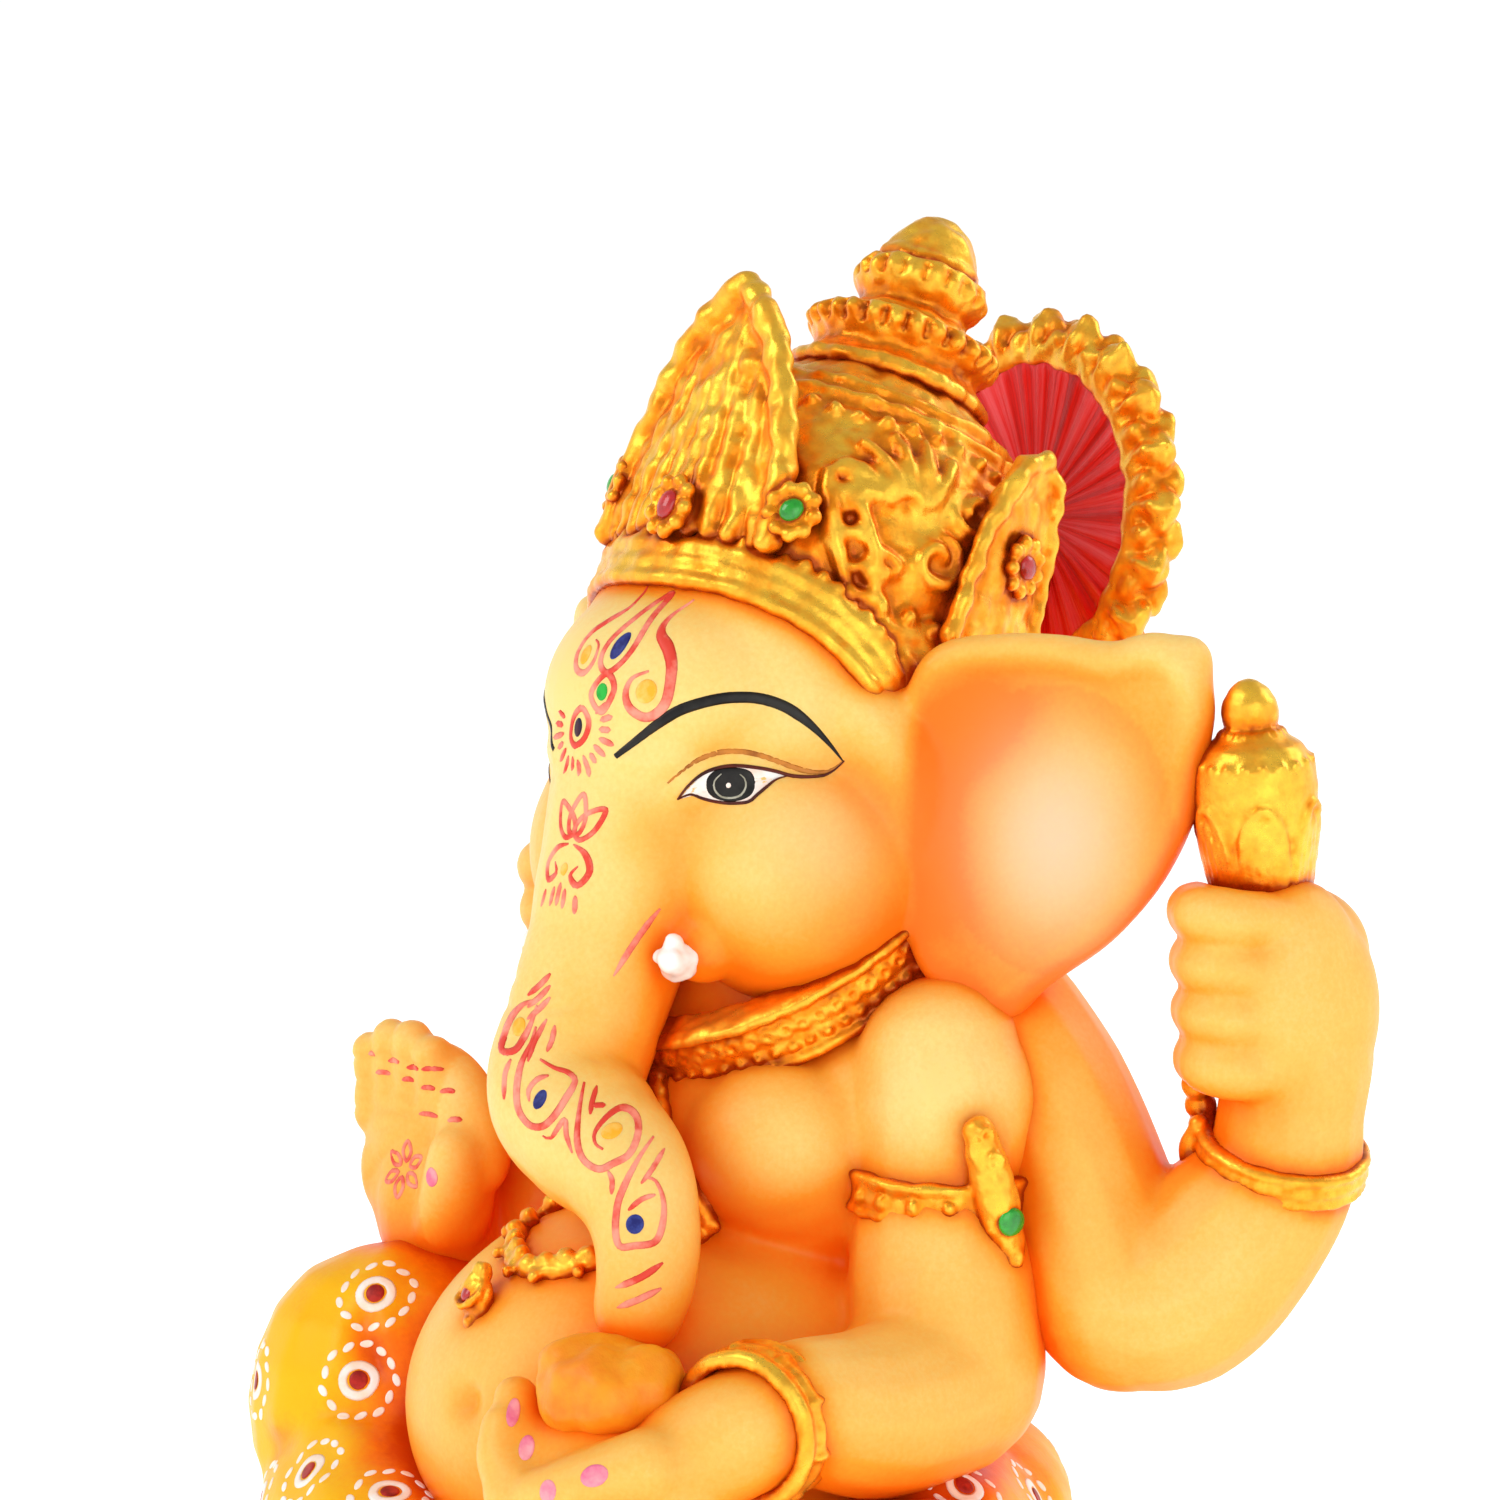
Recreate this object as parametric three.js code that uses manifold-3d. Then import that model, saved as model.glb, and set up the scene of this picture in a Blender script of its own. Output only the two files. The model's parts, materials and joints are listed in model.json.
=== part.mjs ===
// Seated four-armed elephant-headed idol, cast in resin and painted by hand.
// Millimetres, +Z up. The idol faces -Y, so its own left side is +X. The origin is the middle of the plinth's
// underside, straight below the head. Each cast piece is its own closed solid and sits against its neighbours
// with a small glue gap.
import * as THREE from "three";
import Module from "manifold-3d";
import { mergeVertices } from "three/addons/utils/BufferGeometryUtils.js";

const wasm = await Module();
wasm.setup();

// ---------------------------------------------------------------- driving dimensions
const GLUE_GAP = 0.3;
const LEFT = 1;
const RIGHT = -1;

const PLINTH = { halfWidth: 64, halfDepth: 55, height: 9, middleY: -6 };
const SEAT = { inset: 3, bottom: PLINTH.height + GLUE_GAP, top: 14.4 };
const BELLY = { centre: [0, -14, 48], radii: [36, 36, 32] };
const HEAD = { centre: [0, 0, 130], radii: [27.5, 28, 27] };
const CROWN = { tiltDegrees: 24, foot: [0, 3, 137], height: 59.6 };
const HALO = { centre: [0, 42.5, 154], radius: 24.4, scallop: 1.2, petals: 22, dishRadius: 18.2, thickness: 6, tiltDegrees: 8 };
const EAR = { root: [26, -3], outwards: [0.845, 0.535], thickness: 5.5, cupDepth: 2.6 };
const FRONT_ARM = { shoulder: [32.5, 0, 89], elbow: [38, -6, 54], wrist: [40, -33, 53], raisedWrist: [48, -19, 62] };
const BACK_ARM = { shoulder: [31, 10, 90], elbow: [50, 11, 63], wrist: [63.5, 25, 79] };
const FINGER_RADIUS = 3.9;

const PAINT = {
  skin: { color: 0xf3b36a, roughness: 0.42, metalness: 0 },
  gold: { color: 0xe39a1c, roughness: 0.3, metalness: 0.85 },
  cloth: { color: 0xf0a010, roughness: 0.45, metalness: 0 },
  crimson: { color: 0xc4161c, roughness: 0.5, metalness: 0 },
  ivory: { color: 0xfaf6ee, roughness: 0.35, metalness: 0 },
  sweet: { color: 0xef9a2c, roughness: 0.4, metalness: 0 },
};
const materials = Object.fromEntries(
  Object.entries(PAINT).map(([slot, look]) => [slot, new THREE.MeshStandardMaterial({ name: slot, ...look })]),
);

// ---------------------------------------------------------------- solids and how they are joined
// A closed three.js geometry as a solid that can be joined and cut.
function solid(geometry) {
  geometry.deleteAttribute("normal");
  geometry.deleteAttribute("uv");
  const merged = mergeVertices(geometry, 1e-3);
  return new wasm.Manifold(
    new wasm.Mesh({
      numProp: 3,
      vertProperties: new Float32Array(merged.attributes.position.array),
      triVerts: new Uint32Array(merged.index.array),
    }),
  );
}

function union(solids) {
  return solids.reduce((whole, next) => whole.add(next));
}

function moved(geometry, position, turn = new THREE.Euler()) {
  const place = new THREE.Matrix4().makeRotationFromEuler(turn).setPosition(...position);
  return geometry.applyMatrix4(place);
}

const degrees = THREE.MathUtils.degToRad;
const mirrored = (point, side) => [side * point[0], point[1], point[2]];

// An egg shape. Every shape function takes grow, which swells it to cut a glue gap in a neighbour.
function egg(centre, radii, grow = 0, segments = 12, turn = new THREE.Euler()) {
  const [rx, ry, rz] = radii.map((radius) => radius + grow);
  const ball = new THREE.SphereGeometry(1, segments, Math.round(segments * 0.6));
  ball.rotateX(Math.PI / 2).scale(rx, ry, rz);
  return solid(moved(ball, centre, turn));
}

// A tapered limb, swept along a curve through stations of [x, y, z, radius], with rounded ends.
function limb(stations, grow = 0, sides = 8) {
  const spine = new THREE.CatmullRomCurve3(stations.map(([x, y, z]) => new THREE.Vector3(x, y, z)));
  const last = stations.length - 1;
  const steps = last === 1 ? 1 : last * 2;
  const rows = [];
  for (let i = 0; i <= steps; i++) {
    const along = (i / steps) * last;
    const from = Math.min(Math.floor(along), last - 1);
    const radius = THREE.MathUtils.lerp(stations[from][3], stations[from + 1][3], along - from) + grow;
    const tangent = spine.getTangent(i / steps);
    rows.push({ centre: spine.getPoint(i / steps), tangent, radius });
  }
  const rounded = (row, sign) =>
    [0.62, 1].map((reach) => ({
      centre: row.centre.clone().addScaledVector(row.tangent, sign * row.radius * reach),
      tangent: row.tangent,
      radius: row.radius * Math.sqrt(1 - reach * reach),
    }));
  rows.unshift(...rounded(rows[0], -1).reverse());
  rows.push(...rounded(rows[rows.length - 1], 1));
  return solid(bentLathe(rows, sides));
}

// A turned shape whose rings are laid along the rows: each ring keeps its radius and faces along its tangent.
function bentLathe(rows, sides) {
  const lean = (axis) => Math.max(...rows.map(({ tangent }) => Math.abs(tangent.dot(axis))));
  const upright = [new THREE.Vector3(1, 0, 0), new THREE.Vector3(0, 1, 0), new THREE.Vector3(0, 0, 1)]
    .reduce((best, axis) => (lean(axis) < lean(best) ? axis : best));
  const profile = rows.map(({ radius }, i) => new THREE.Vector2(radius, i));
  const geometry = new THREE.LatheGeometry(profile, sides);
  const { position } = geometry.attributes;
  for (let i = 0; i < position.count; i++) {
    const { centre, tangent } = rows[Math.round(position.getY(i))];
    const across = upright.clone().cross(tangent).normalize();
    const over = tangent.clone().cross(across);
    const vertex = centre.clone().addScaledVector(across, position.getZ(i)).addScaledVector(over, position.getX(i));
    position.setXYZ(i, ...vertex.toArray());
  }
  return geometry;
}

// A turned piece from a profile of [radius, height], its axis along +Z.
function turned(profile, segments = 18) {
  const points = profile.map(([radius, height]) => new THREE.Vector2(radius, height));
  return new THREE.LatheGeometry(points, segments).rotateX(Math.PI / 2);
}

// A band round a limb: a ring of flat section with a swollen face, its axis along the given direction.
function band(centre, axis, inner, outer, height, segments = 16) {
  const half = height / 2;
  const edge = outer - (outer - inner) * 0.3;
  const profile = [[inner, -half], [edge, -half], [outer, 0], [edge, half], [inner, half], [inner, -half]];
  const aim = new THREE.Quaternion().setFromUnitVectors(
    new THREE.Vector3(0, 0, 1),
    new THREE.Vector3(...axis).normalize(),
  );
  return solid(moved(turned(profile, segments).applyQuaternion(aim), centre));
}

// A flat outline given by points, with a smooth curve through them, raised by thickness along +Z.
function plate(points, thickness, steps = 24) {
  const curve = new THREE.CatmullRomCurve3(points.map(([x, y]) => new THREE.Vector3(x, y, 0)), true);
  const outline = new THREE.Shape(curve.getPoints(steps).slice(0, -1).map(({ x, y }) => new THREE.Vector2(x, y)));
  const raised = new THREE.ExtrudeGeometry(outline, { depth: thickness, bevelEnabled: false });
  return raised.translate(0, 0, -thickness / 2);
}

function axes(x, y, z, origin) {
  const place = new THREE.Matrix4().makeBasis(new THREE.Vector3(...x), new THREE.Vector3(...y), new THREE.Vector3(...z));
  return place.setPosition(...origin);
}

// ---------------------------------------------------------------- assembly
const idol = new THREE.Group();
const subassemblies = {};
const made = [];

function subassembly(name, position, turn = new THREE.Euler()) {
  const group = new THREE.Group();
  group.position.set(...position);
  group.rotation.copy(turn);
  idol.add(group);
  group.updateMatrixWorld(true);
  subassemblies[name] = group;
}

// Adds a piece shaped by a function of grow. Every piece added before it keeps its shape, and this one is cut
// back to leave the glue gap.
function add(name, slot, groupName, shape) {
  let piece = shape(0);
  const box = piece.boundingBox();
  for (const other of made) {
    const apart = [0, 1, 2].some(
      (k) => box.min[k] > other.box.max[k] + GLUE_GAP || other.box.min[k] > box.max[k] + GLUE_GAP,
    );
    if (!apart) piece = piece.subtract(other.shape(GLUE_GAP));
  }
  const bodies = piece.decompose().sort((a, b) => b.volume() - a.volume());
  made.push({ shape, box });

  const { vertProperties, triVerts, numProp } = bodies[0].getMesh();
  const positions = new Float32Array((vertProperties.length / numProp) * 3);
  for (let i = 0; i < positions.length / 3; i++) {
    positions.set(vertProperties.subarray(i * numProp, i * numProp + 3), i * 3);
  }
  const geometry = new THREE.BufferGeometry();
  geometry.setAttribute("position", new THREE.BufferAttribute(positions, 3));
  geometry.setIndex(new THREE.BufferAttribute(new Uint32Array(triVerts), 1));
  const group = subassemblies[groupName];
  geometry.applyMatrix4(group.matrixWorld.clone().invert());
  geometry.computeVertexNormals();
  const mesh = new THREE.Mesh(geometry, materials[slot]);
  mesh.name = name;
  group.add(mesh);
}

const SIDES = [["left", LEFT], ["right", RIGHT]];

// ---------------------------------------------------------------- plinth and seat
subassembly("base", [0, PLINTH.middleY, 0]);

function ovalSlab(halfWidth, halfDepth, bottom, top, edge) {
  const profile = [[0, bottom], [1 - edge, bottom], [1, bottom + 2], [1, top - 2], [1 - edge, top], [0, top]];
  return moved(turned(profile, 32).scale(halfWidth, halfDepth, 1), [0, PLINTH.middleY, 0]);
}
add("plinth", "gold", "base", () =>
  solid(ovalSlab(PLINTH.halfWidth, PLINTH.halfDepth, 0, PLINTH.height, 0.03)));
add("seat_pad", "crimson", "base", () =>
  solid(ovalSlab(PLINTH.halfWidth - SEAT.inset, PLINTH.halfDepth - SEAT.inset, SEAT.bottom, SEAT.top, 0.05)));

// ---------------------------------------------------------------- torso and head
subassembly("body", BELLY.centre);
subassembly("head", HEAD.centre);

const cheek = (side, grow) => egg([side * 13, -8, 113], [17, 17, 17], grow, 10);
add("head", "skin", "head", (grow) =>
  union([
    egg(HEAD.centre, HEAD.radii, grow, 16),
    cheek(LEFT, grow),
    cheek(RIGHT, grow),
    limb([[0, -16, 122, 14], [0, -23.5, 114, 12.5]], grow, 10),
  ]));

// The trunk hangs from the face, swings to the idol's left and ends over the sweet.
const TRUNK = [
  [0, -30, 103, 9.6],
  [0, -34, 92, 9.3],
  [2.5, -36, 82, 9.4],
  [9, -37, 77, 8.6],
  [15, -37.5, 74.5, 7.4],
  [18.5, -38, 69.5, 6.1],
  [19.5, -40, 65.2, 5.2],
];
add("trunk", "skin", "head", (grow) => limb(TRUNK, grow, 8));

add("torso", "skin", "body", (grow) =>
  union([
    egg(BELLY.centre, BELLY.radii, grow, 18),
    egg([0, -3, 77], [31, 23, 21], grow, 14),
    egg([15, -12, 79], [14, 13, 12], grow, 10),
    egg([-15, -12, 79], [14, 13, 12], grow, 10),
    limb([[0, 0, 86, 24], [0, 2, 100, 20]], grow, 12),
  ]));

for (const [name, side] of SIDES) {
  add(`${name}_tusk`, "ivory", "head", (grow) =>
    limb([[side * 8, -22, 101.8, 3], [side * 12.2, -28.5, 100.2, 2.6], [side * 13.4, -30.4, 99.6, 1.6]], grow, 6));
}

// ---------------------------------------------------------------- ears
// The outline runs along the ear's own plane: distance out from the root, and height.
const EAR_OUTLINE = [
  [0.8, 134], [4, 139.5], [11, 142], [19, 142.3], [27, 141.5], [36, 143.2],
  [38.5, 139], [38, 128], [35.5, 118], [28, 107], [19, 100], [11, 93.8],
  [7, 97], [2, 103], [0.8, 118],
];
function ear(side, grow) {
  const [outX, outY] = EAR.outwards;
  const place = axes([side * outX, outY, 0], [0, 0, 1], [side * outY, -outX, 0], [side * EAR.root[0], EAR.root[1], 0]);
  const body = plate(EAR_OUTLINE, EAR.thickness + 2 * grow, 30).applyMatrix4(place);
  if (side === RIGHT) flipFaces(body);
  return solid(body);
}

// A mirroring matrix turns a solid inside out, and this turns it back.
function flipFaces(geometry) {
  const { array } = geometry.attributes.position;
  for (let i = 0; i < array.length; i += 9) {
    for (let k = 0; k < 3; k++) {
      [array[i + 3 + k], array[i + 6 + k]] = [array[i + 6 + k], array[i + 3 + k]];
    }
  }
}

function earCup(side) {
  const [outX, outY] = EAR.outwards;
  const forwards = EAR.thickness / 2 + 9 - EAR.cupDepth;
  const centre = [
    side * (EAR.root[0] + outX * 19 + outY * forwards),
    EAR.root[1] + outY * 19 - outX * forwards,
    124,
  ];
  return egg(centre, [15, 9, 13], 0, 14, new THREE.Euler(0, 0, side * Math.atan2(outY, outX)));
}

for (const [name, side] of SIDES) {
  add(`${name}_ear`, "skin", "head", (grow) => (grow ? ear(side, grow) : ear(side, 0).subtract(earCup(side))));
}

// ---------------------------------------------------------------- legs, dhoti and feet
subassembly("legs", [0, -10, SEAT.top]);
const legsAboveSeat = SEAT.top + GLUE_GAP;
const RIGHT_LEG = [[-26, 1, 32, 16.5], [-43.2, -26, 39, 20.6]];
const RIGHT_SHIN = [[-40, -33, 30, 14.5], [-16, -47, 26, 10.5], [2, -49, 24, 8.5]];
const LEFT_LEG = [[27, 1, 30, 15], [46, -22, 28.5, 13.2]];
const LEFT_SHIN = [[42, -28, 27.5, 12], [26, -40, 25, 9.5], [14, -44, 23.5, 8]];

add("right_thigh", "cloth", "legs", (grow) => limb(RIGHT_LEG, grow, 12));
add("left_thigh", "cloth", "legs", (grow) => limb(LEFT_LEG, grow, 12));
add("right_shin", "cloth", "legs", (grow) => limb(RIGHT_SHIN, grow, 8));
add("right_foot", "skin", "legs", (grow) =>
  limb([[6, -50, 22.5, 7.2], [16, -51.5, 20.5, 5.6], [24, -50, 19.5, 4.4]], grow, 8));
add("left_shin", "cloth", "legs", (grow) => limb(LEFT_SHIN, grow, 8));
add("left_foot", "skin", "legs", (grow) =>
  limb([[-4, -42, 21.5, 6.4], [-18, -41, 20.5, 5.2]], grow, 8));
add("dhoti_hips", "cloth", "legs", (grow) => egg([0, 5, 31], [36, 31, 16], grow, 16));

// ---------------------------------------------------------------- arms and hands
const [shoulderX, shoulderY, shoulderZ] = FRONT_ARM.shoulder;

function upperArm(side, elbow, grow) {
  const [x, y, z] = mirrored(elbow, side);
  return limb([[side * shoulderX, shoulderY, shoulderZ, 12.8], [side * 33.4, -2, 76, 10.9], [x, y, z, 12.2]], grow, 10);
}

function backArm(side, grow) {
  const [sx, sy, sz] = mirrored(BACK_ARM.shoulder, side);
  const [ex, ey, ez] = mirrored(BACK_ARM.elbow, side);
  return limb([[sx, sy, sz, 12], [side * 43, 11, 76, 11.4], [ex, ey, ez, 11]], grow, 8);
}

function backForearm(side, grow) {
  const [ex, ey, ez] = mirrored(BACK_ARM.elbow, side);
  const [wx, wy, wz] = mirrored(BACK_ARM.wrist, side);
  return limb([[ex + side, ey + 1.5, ez, 11.4], [side * 57, 19, 68, 11.8], [wx, wy, wz, 10]], grow, 9);
}

// The staff of each held emblem stands in the fist and leans a little forwards.
const STAFF = { x: 62, y: 26, foot: 81, leanDegrees: 6, radius: 3.1 };

function fist(side, grow) {
  const fingers = [0, 1, 2, 3].map((i) => {
    const z = 91 + i * 6;
    const knuckle = 22 - i * 0.4;
    return limb([[side * 68.5, knuckle + 9, z - 2, FINGER_RADIUS], [side * 68.8, knuckle - 3, z, FINGER_RADIUS],
      [side * 63, knuckle - 8.4, z + 1, FINGER_RADIUS], [side * 57.6, knuckle - 4, z + 1, FINGER_RADIUS]], grow, 7);
  });
  return union([
    egg([side * 64.5, 26, 97], [9.5, 9.5, 14], grow, 10),
    limb([[side * 64, 25.5, 82, 9], [side * 65, 26, 92, 9.4]], grow, 9),
    ...fingers,
  ]);
}

for (const [name, side] of SIDES) {
  subassembly(`${name}_back_arm`, mirrored(BACK_ARM.shoulder, side));
  subassembly(`${name}_front_arm`, mirrored(FRONT_ARM.shoulder, side));
}

// The sweet in the lower left palm.
const SWEET = { centre: [24, -46, 55.5], radius: 9.2 };
subassembly("sweet", SWEET.centre);
add("sweet", "sweet", "sweet", (grow) => {
  const { radius } = SWEET;
  const profile = [[0, -5.6], [radius * 0.7, -5], [radius, -1.5], [radius * 0.95, 2.5], [radius * 0.5, 5.2], [0, 6]]
    .map(([r, h]) => [r ? r + grow : 0, h + Math.sign(h) * grow]);
  return solid(moved(turned(profile, 14), SWEET.centre));
});

for (const [name, side] of SIDES) {
  const elbow = side === LEFT ? FRONT_ARM.elbow : [42, -5, 54];
  add(`${name}_front_upper_arm`, "skin", `${name}_front_arm`, (grow) => upperArm(side, elbow, grow));
}

add("left_front_forearm", "skin", "left_front_arm", (grow) => {
  const [x, y, z] = FRONT_ARM.elbow;
  const [wx, wy, wz] = FRONT_ARM.wrist;
  return limb([[x, y - 2, z - 1, 11.6], [40.5, -20, 51.5, 10.2], [wx, wy, wz, 8]], grow, 8);
});
add("left_front_hand", "skin", "left_front_arm", (grow) =>
  union([
    limb([[39.5, -37, 52, 7.6], [31, -46, 46.5, 7]], grow, 9),
    egg([27, -47.5, 45], [13, 9.5, 6], grow, 12),
    limb([[25, -52, 45.5, 3.8], [17.5, -53, 47.5, 3.5], [14, -51.8, 52, 3]], grow, 7),
    limb([[26, -54.5, 43, 3.8], [19, -56.4, 44.5, 3.6], [15.8, -55.4, 48.6, 3]], grow, 7),
    limb([[28, -55, 40.5, 3.8], [21.5, -57.4, 41, 3.5], [18.6, -57.4, 44.4, 3]], grow, 7),
    limb([[36, -50, 48.5, 4.4], [30, -55, 47, 3.8], [25.5, -56.5, 46.6, 3.1]], grow, 7),
  ]));

add("right_front_forearm", "skin", "right_front_arm", (grow) =>
  limb([[-43, -7, 54, 11.2], [-47, -17, 60.5, 8.6]], grow, 8));
add("right_front_hand", "skin", "right_front_arm", (grow) => {
  const fingers = [0, 1, 2, 3].map((i) => {
    const x = -55 + i * 4.5;
    const tip = [87.2, 89.6, 89.9, 88.2][i];
    return limb([[x, -22.5, 75, 3.4], [x + 0.2, -23.6, tip - 3, 2.9]], grow, 7);
  });
  return union([
    limb([[-47.8, -18.6, 63, 7.4], [-48.2, -21, 68, 7.4]], grow, 9),
    egg([-48.2, -21.8, 72], [10.2, 6.2, 10], grow, 12),
    limb([[-41, -24, 66, 4], [-39.6, -26.4, 72.5, 3.3]], grow, 7),
    ...fingers,
  ]);
});

for (const [name, side] of SIDES) {
  add(`${name}_back_upper_arm`, "skin", `${name}_back_arm`, (grow) => backArm(side, grow));
  add(`${name}_back_forearm`, "skin", `${name}_back_arm`, (grow) => backForearm(side, grow));
}

// ---------------------------------------------------------------- emblems held in the back hands
const staffTurn = new THREE.Euler(degrees(STAFF.leanDegrees), 0, 0);
const onStaff = (geometry, side) => moved(geometry, [side * STAFF.x, STAFF.y, STAFF.foot], staffTurn);
const grown = (profile, grow) => profile.map(([radius, height]) => [radius ? radius + grow : 0, height]);
const MACE_PROFILE = [
  [0, -0.5], [3.4, 1], [4.2, 3.6], [STAFF.radius, 6.6], [STAFF.radius, 23], [4.8, 27.4], [5.6, 31.4], [6.8, 38],
  [7.6, 43], [7.3, 46.4], [5.5, 49.2], [2.9, 50.6], [3.5, 52.8], [2.6, 55.4], [0, 56.8],
];
const AXE_PROFILE = [[0, -0.5], [3, 1], [3.6, 3.6], [STAFF.radius, 6.6], [STAFF.radius, 46], [2.4, 49.5], [0, 51]];

add("mace", "gold", "left_back_arm", (grow) => solid(onStaff(turned(grown(MACE_PROFILE, grow), 12), LEFT)));
add("axe", "gold", "right_back_arm", (grow) => {
  const blade = plate([[-1, 40.4], [4, 38], [9, 33], [11.5, 39.5], [9, 46.5], [4, 42], [-1, 41.6]], 3 + 2 * grow, 14);
  const place = axes([-1, 0, 0], [0, 0, 1], [0, 1, 0], [0, 0, 0]);
  return solid(onStaff(turned(grown(AXE_PROFILE, grow), 10), RIGHT))
    .add(solid(onStaff(blade.applyMatrix4(place), RIGHT)));
});

for (const [name, side] of SIDES) {
  add(`${name}_back_hand`, "skin", `${name}_back_arm`, (grow) => fist(side, grow));
}

// ---------------------------------------------------------------- crown
const crownTurn = new THREE.Euler(-degrees(CROWN.tiltDegrees), 0, 0);
subassembly("crown", CROWN.foot, crownTurn);
const onCrown = (geometry) => moved(geometry, CROWN.foot, crownTurn);

// The dome rises from a cap that follows the skull, from a slanting edge over the brow to the nape.
const CAP = { browY: -15, browZ: 149, slopeDegrees: 52, napeZ: 121.5 };
function cap(grow) {
  const shell = egg([0, 1, 131], [29, 29.3, 28.3], grow, 16);
  const behind = new THREE.BoxGeometry(90, 90, 60).translate(0, 45, 30);
  const slope = new THREE.Euler(degrees(-CAP.slopeDegrees), 0, 0);
  const behindBrow = solid(moved(behind, [0, CAP.browY, CAP.browZ], slope));
  const aboveNape = solid(moved(new THREE.BoxGeometry(90, 90, 60), [0, 0, CAP.napeZ + 30]));
  return shell.intersect(behindBrow).intersect(aboveNape);
}
add("crown_dome", "gold", "crown", (grow) => {
  const profile = [[0, 3], [25.4, 3], [26.4, 9], [25.6, 18], [22.3, 26.5], [16, 33.6], [12, 37], [0, 37]];
  return solid(onCrown(turned(grown(profile, grow), 20))).add(cap(grow));
});
// The brim arches over the brow and comes down in front of each ear.
const BRIM_SIDE = [[12.6, -17.6, 148.8], [20.9, -12.8, 144.4], [25.9, -9.8, 138.2], [28.4, -6.6, 131.5]];
add("crown_brim", "gold", "crown", (grow) => {
  const points = [...BRIM_SIDE.toReversed(), [0, -21.6, 149.2], ...BRIM_SIDE.map((point) => mirrored(point, RIGHT))];
  return limb(points.map((point) => [...point, 2]), grow, 7);
});
const TIERS = [
  ["crown_lower_tier", [[0, 37.3], [10.4, 37.3], [11, 39], [12.8, 42.8], [12.2, 44.6], [8, 44.6], [0, 44.6]]],
  ["crown_upper_tier", [[0, 44.9], [6.9, 44.9], [7.2, 47.2], [8.8, 50.8], [8.4, 52.6], [0, 52.6]]],
  ["crown_finial", [[0, 52.9], [5.9, 52.9], [6.2, 54.6], [4.9, 57.4], [2.4, CROWN.height - 0.5], [0, CROWN.height]]],
];
for (const [name, profile] of TIERS) {
  add(name, "gold", "crown", () => solid(onCrown(turned(profile, 16))));
}
// Each leaf stands on the brim, curved round the dome: middle angle, half width and height of its tip.
function crownLeaf(angle, halfWidth, tip) {
  const outline = [[0, tip], [-halfWidth * 0.5, tip * 0.74], [-halfWidth, tip * 0.38], [-halfWidth * 0.94, 5],
    [0, 3.2], [halfWidth * 0.94, 5], [halfWidth, tip * 0.38], [halfWidth * 0.5, tip * 0.74]];
  const shell = turned([[25.4, 2], [28.4, 2], [28.8, 20], [28.8, 44], [26, 44], [25.6, 20], [25.4, 2]], 20);
  const cut = plate(outline, 30, 20).rotateX(Math.PI / 2).translate(0, -28, 0);
  const turn = degrees(angle);
  return solid(onCrown(shell.rotateZ(turn))).intersect(solid(onCrown(cut.rotateZ(turn))));
}
add("crown_front_leaf", "gold", "crown", () => crownLeaf(0, 15, 41));
add("crown_left_leaf", "gold", "crown", () => crownLeaf(98, 8.5, 24));
add("crown_right_leaf", "gold", "crown", () => crownLeaf(-98, 8.5, 24));

// ---------------------------------------------------------------- halo
const haloTurn = new THREE.Euler(-degrees(HALO.tiltDegrees), 0, 0);
subassembly("halo", HALO.centre, haloTurn);
// Turned about its own axis, which points forwards, along -Y.
const onHalo = (geometry) => moved(geometry.rotateX(Math.PI / 2), HALO.centre, haloTurn);
// A boss in the middle of the dish carries it on the back of the crown.
add("halo_dish", "crimson", "halo", () => {
  const { dishRadius, thickness } = HALO;
  const profile = [[0, -thickness / 2], [dishRadius, -thickness / 2], [dishRadius, 1.2], [13.5, 0.4], [9.5, 5], [8.5, 12], [0, 12]];
  return solid(onHalo(turned(profile, 24)));
});
add("halo_rim", "gold", "halo", () => {
  const { radius, scallop, petals, dishRadius, thickness } = HALO;
  const outline = new THREE.Shape();
  const steps = petals * 3;
  for (let i = 0; i < steps; i++) {
    const angle = (i / steps) * 2 * Math.PI;
    const reach = radius + scallop * (i % 3 === 0 ? -1 : 1);
    outline[i ? "lineTo" : "moveTo"](reach * Math.cos(angle), reach * Math.sin(angle));
  }
  const opening = new THREE.Path().absarc(0, 0, dishRadius + GLUE_GAP, 0, 2 * Math.PI);
  outline.holes.push(opening);
  const rim = new THREE.ExtrudeGeometry(outline, { depth: thickness, bevelEnabled: false, curveSegments: 24 });
  return solid(onHalo(rim.translate(0, 0, -thickness / 2)));
});

// ---------------------------------------------------------------- jewellery
add("collar", "gold", "body", () => band([0, 0, 104], [0, -0.56, 0.83], 23.5, 28.4, 7.6, 20));
// The chain hangs from the collar in a curve over the belly, and the pendant hangs from its lowest bead.
const CHAIN = [[11, -21.5, 89.5], [15, -25.6, 82], [12.8, -35, 72]];
add("long_necklace", "gold", "body", (grow) => {
  const points = [...CHAIN, [0, -44, 66.5], ...CHAIN.toReversed().map((point) => mirrored(point, RIGHT))];
  return limb(points.map((point) => [...point, 2.2]), grow, 6);
});
add("pendant", "gold", "body", () => egg([0, -46.8, 60], [3.8, 3.4, 5.2], 0, 10));
for (const [name, side] of SIDES) {
  add(`${name}_armlet`, "gold", `${name}_front_arm`, () =>
    band([side * 33.4, -2, 76], [side * 0.08, -0.06, 1], 9.5, 12.6, 5.8));
  add(`${name}_back_bracelet`, "gold", `${name}_back_arm`, () =>
    band([side * 63.6, 25.2, 79.4], [side * 0.1, 0.08, 1], 7.5, 11.8, 4.6));
}
add("left_front_bracelet", "gold", "left_front_arm", () => band([39.1, -37, 52.2], [0.3, -1, -0.1], 7, 10.4, 5.6));
add("right_front_bracelet", "gold", "right_front_arm", () => band([-47.6, -18.2, 61.5], [-0.1, -0.3, 1], 7, 9.8, 4.4));
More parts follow.
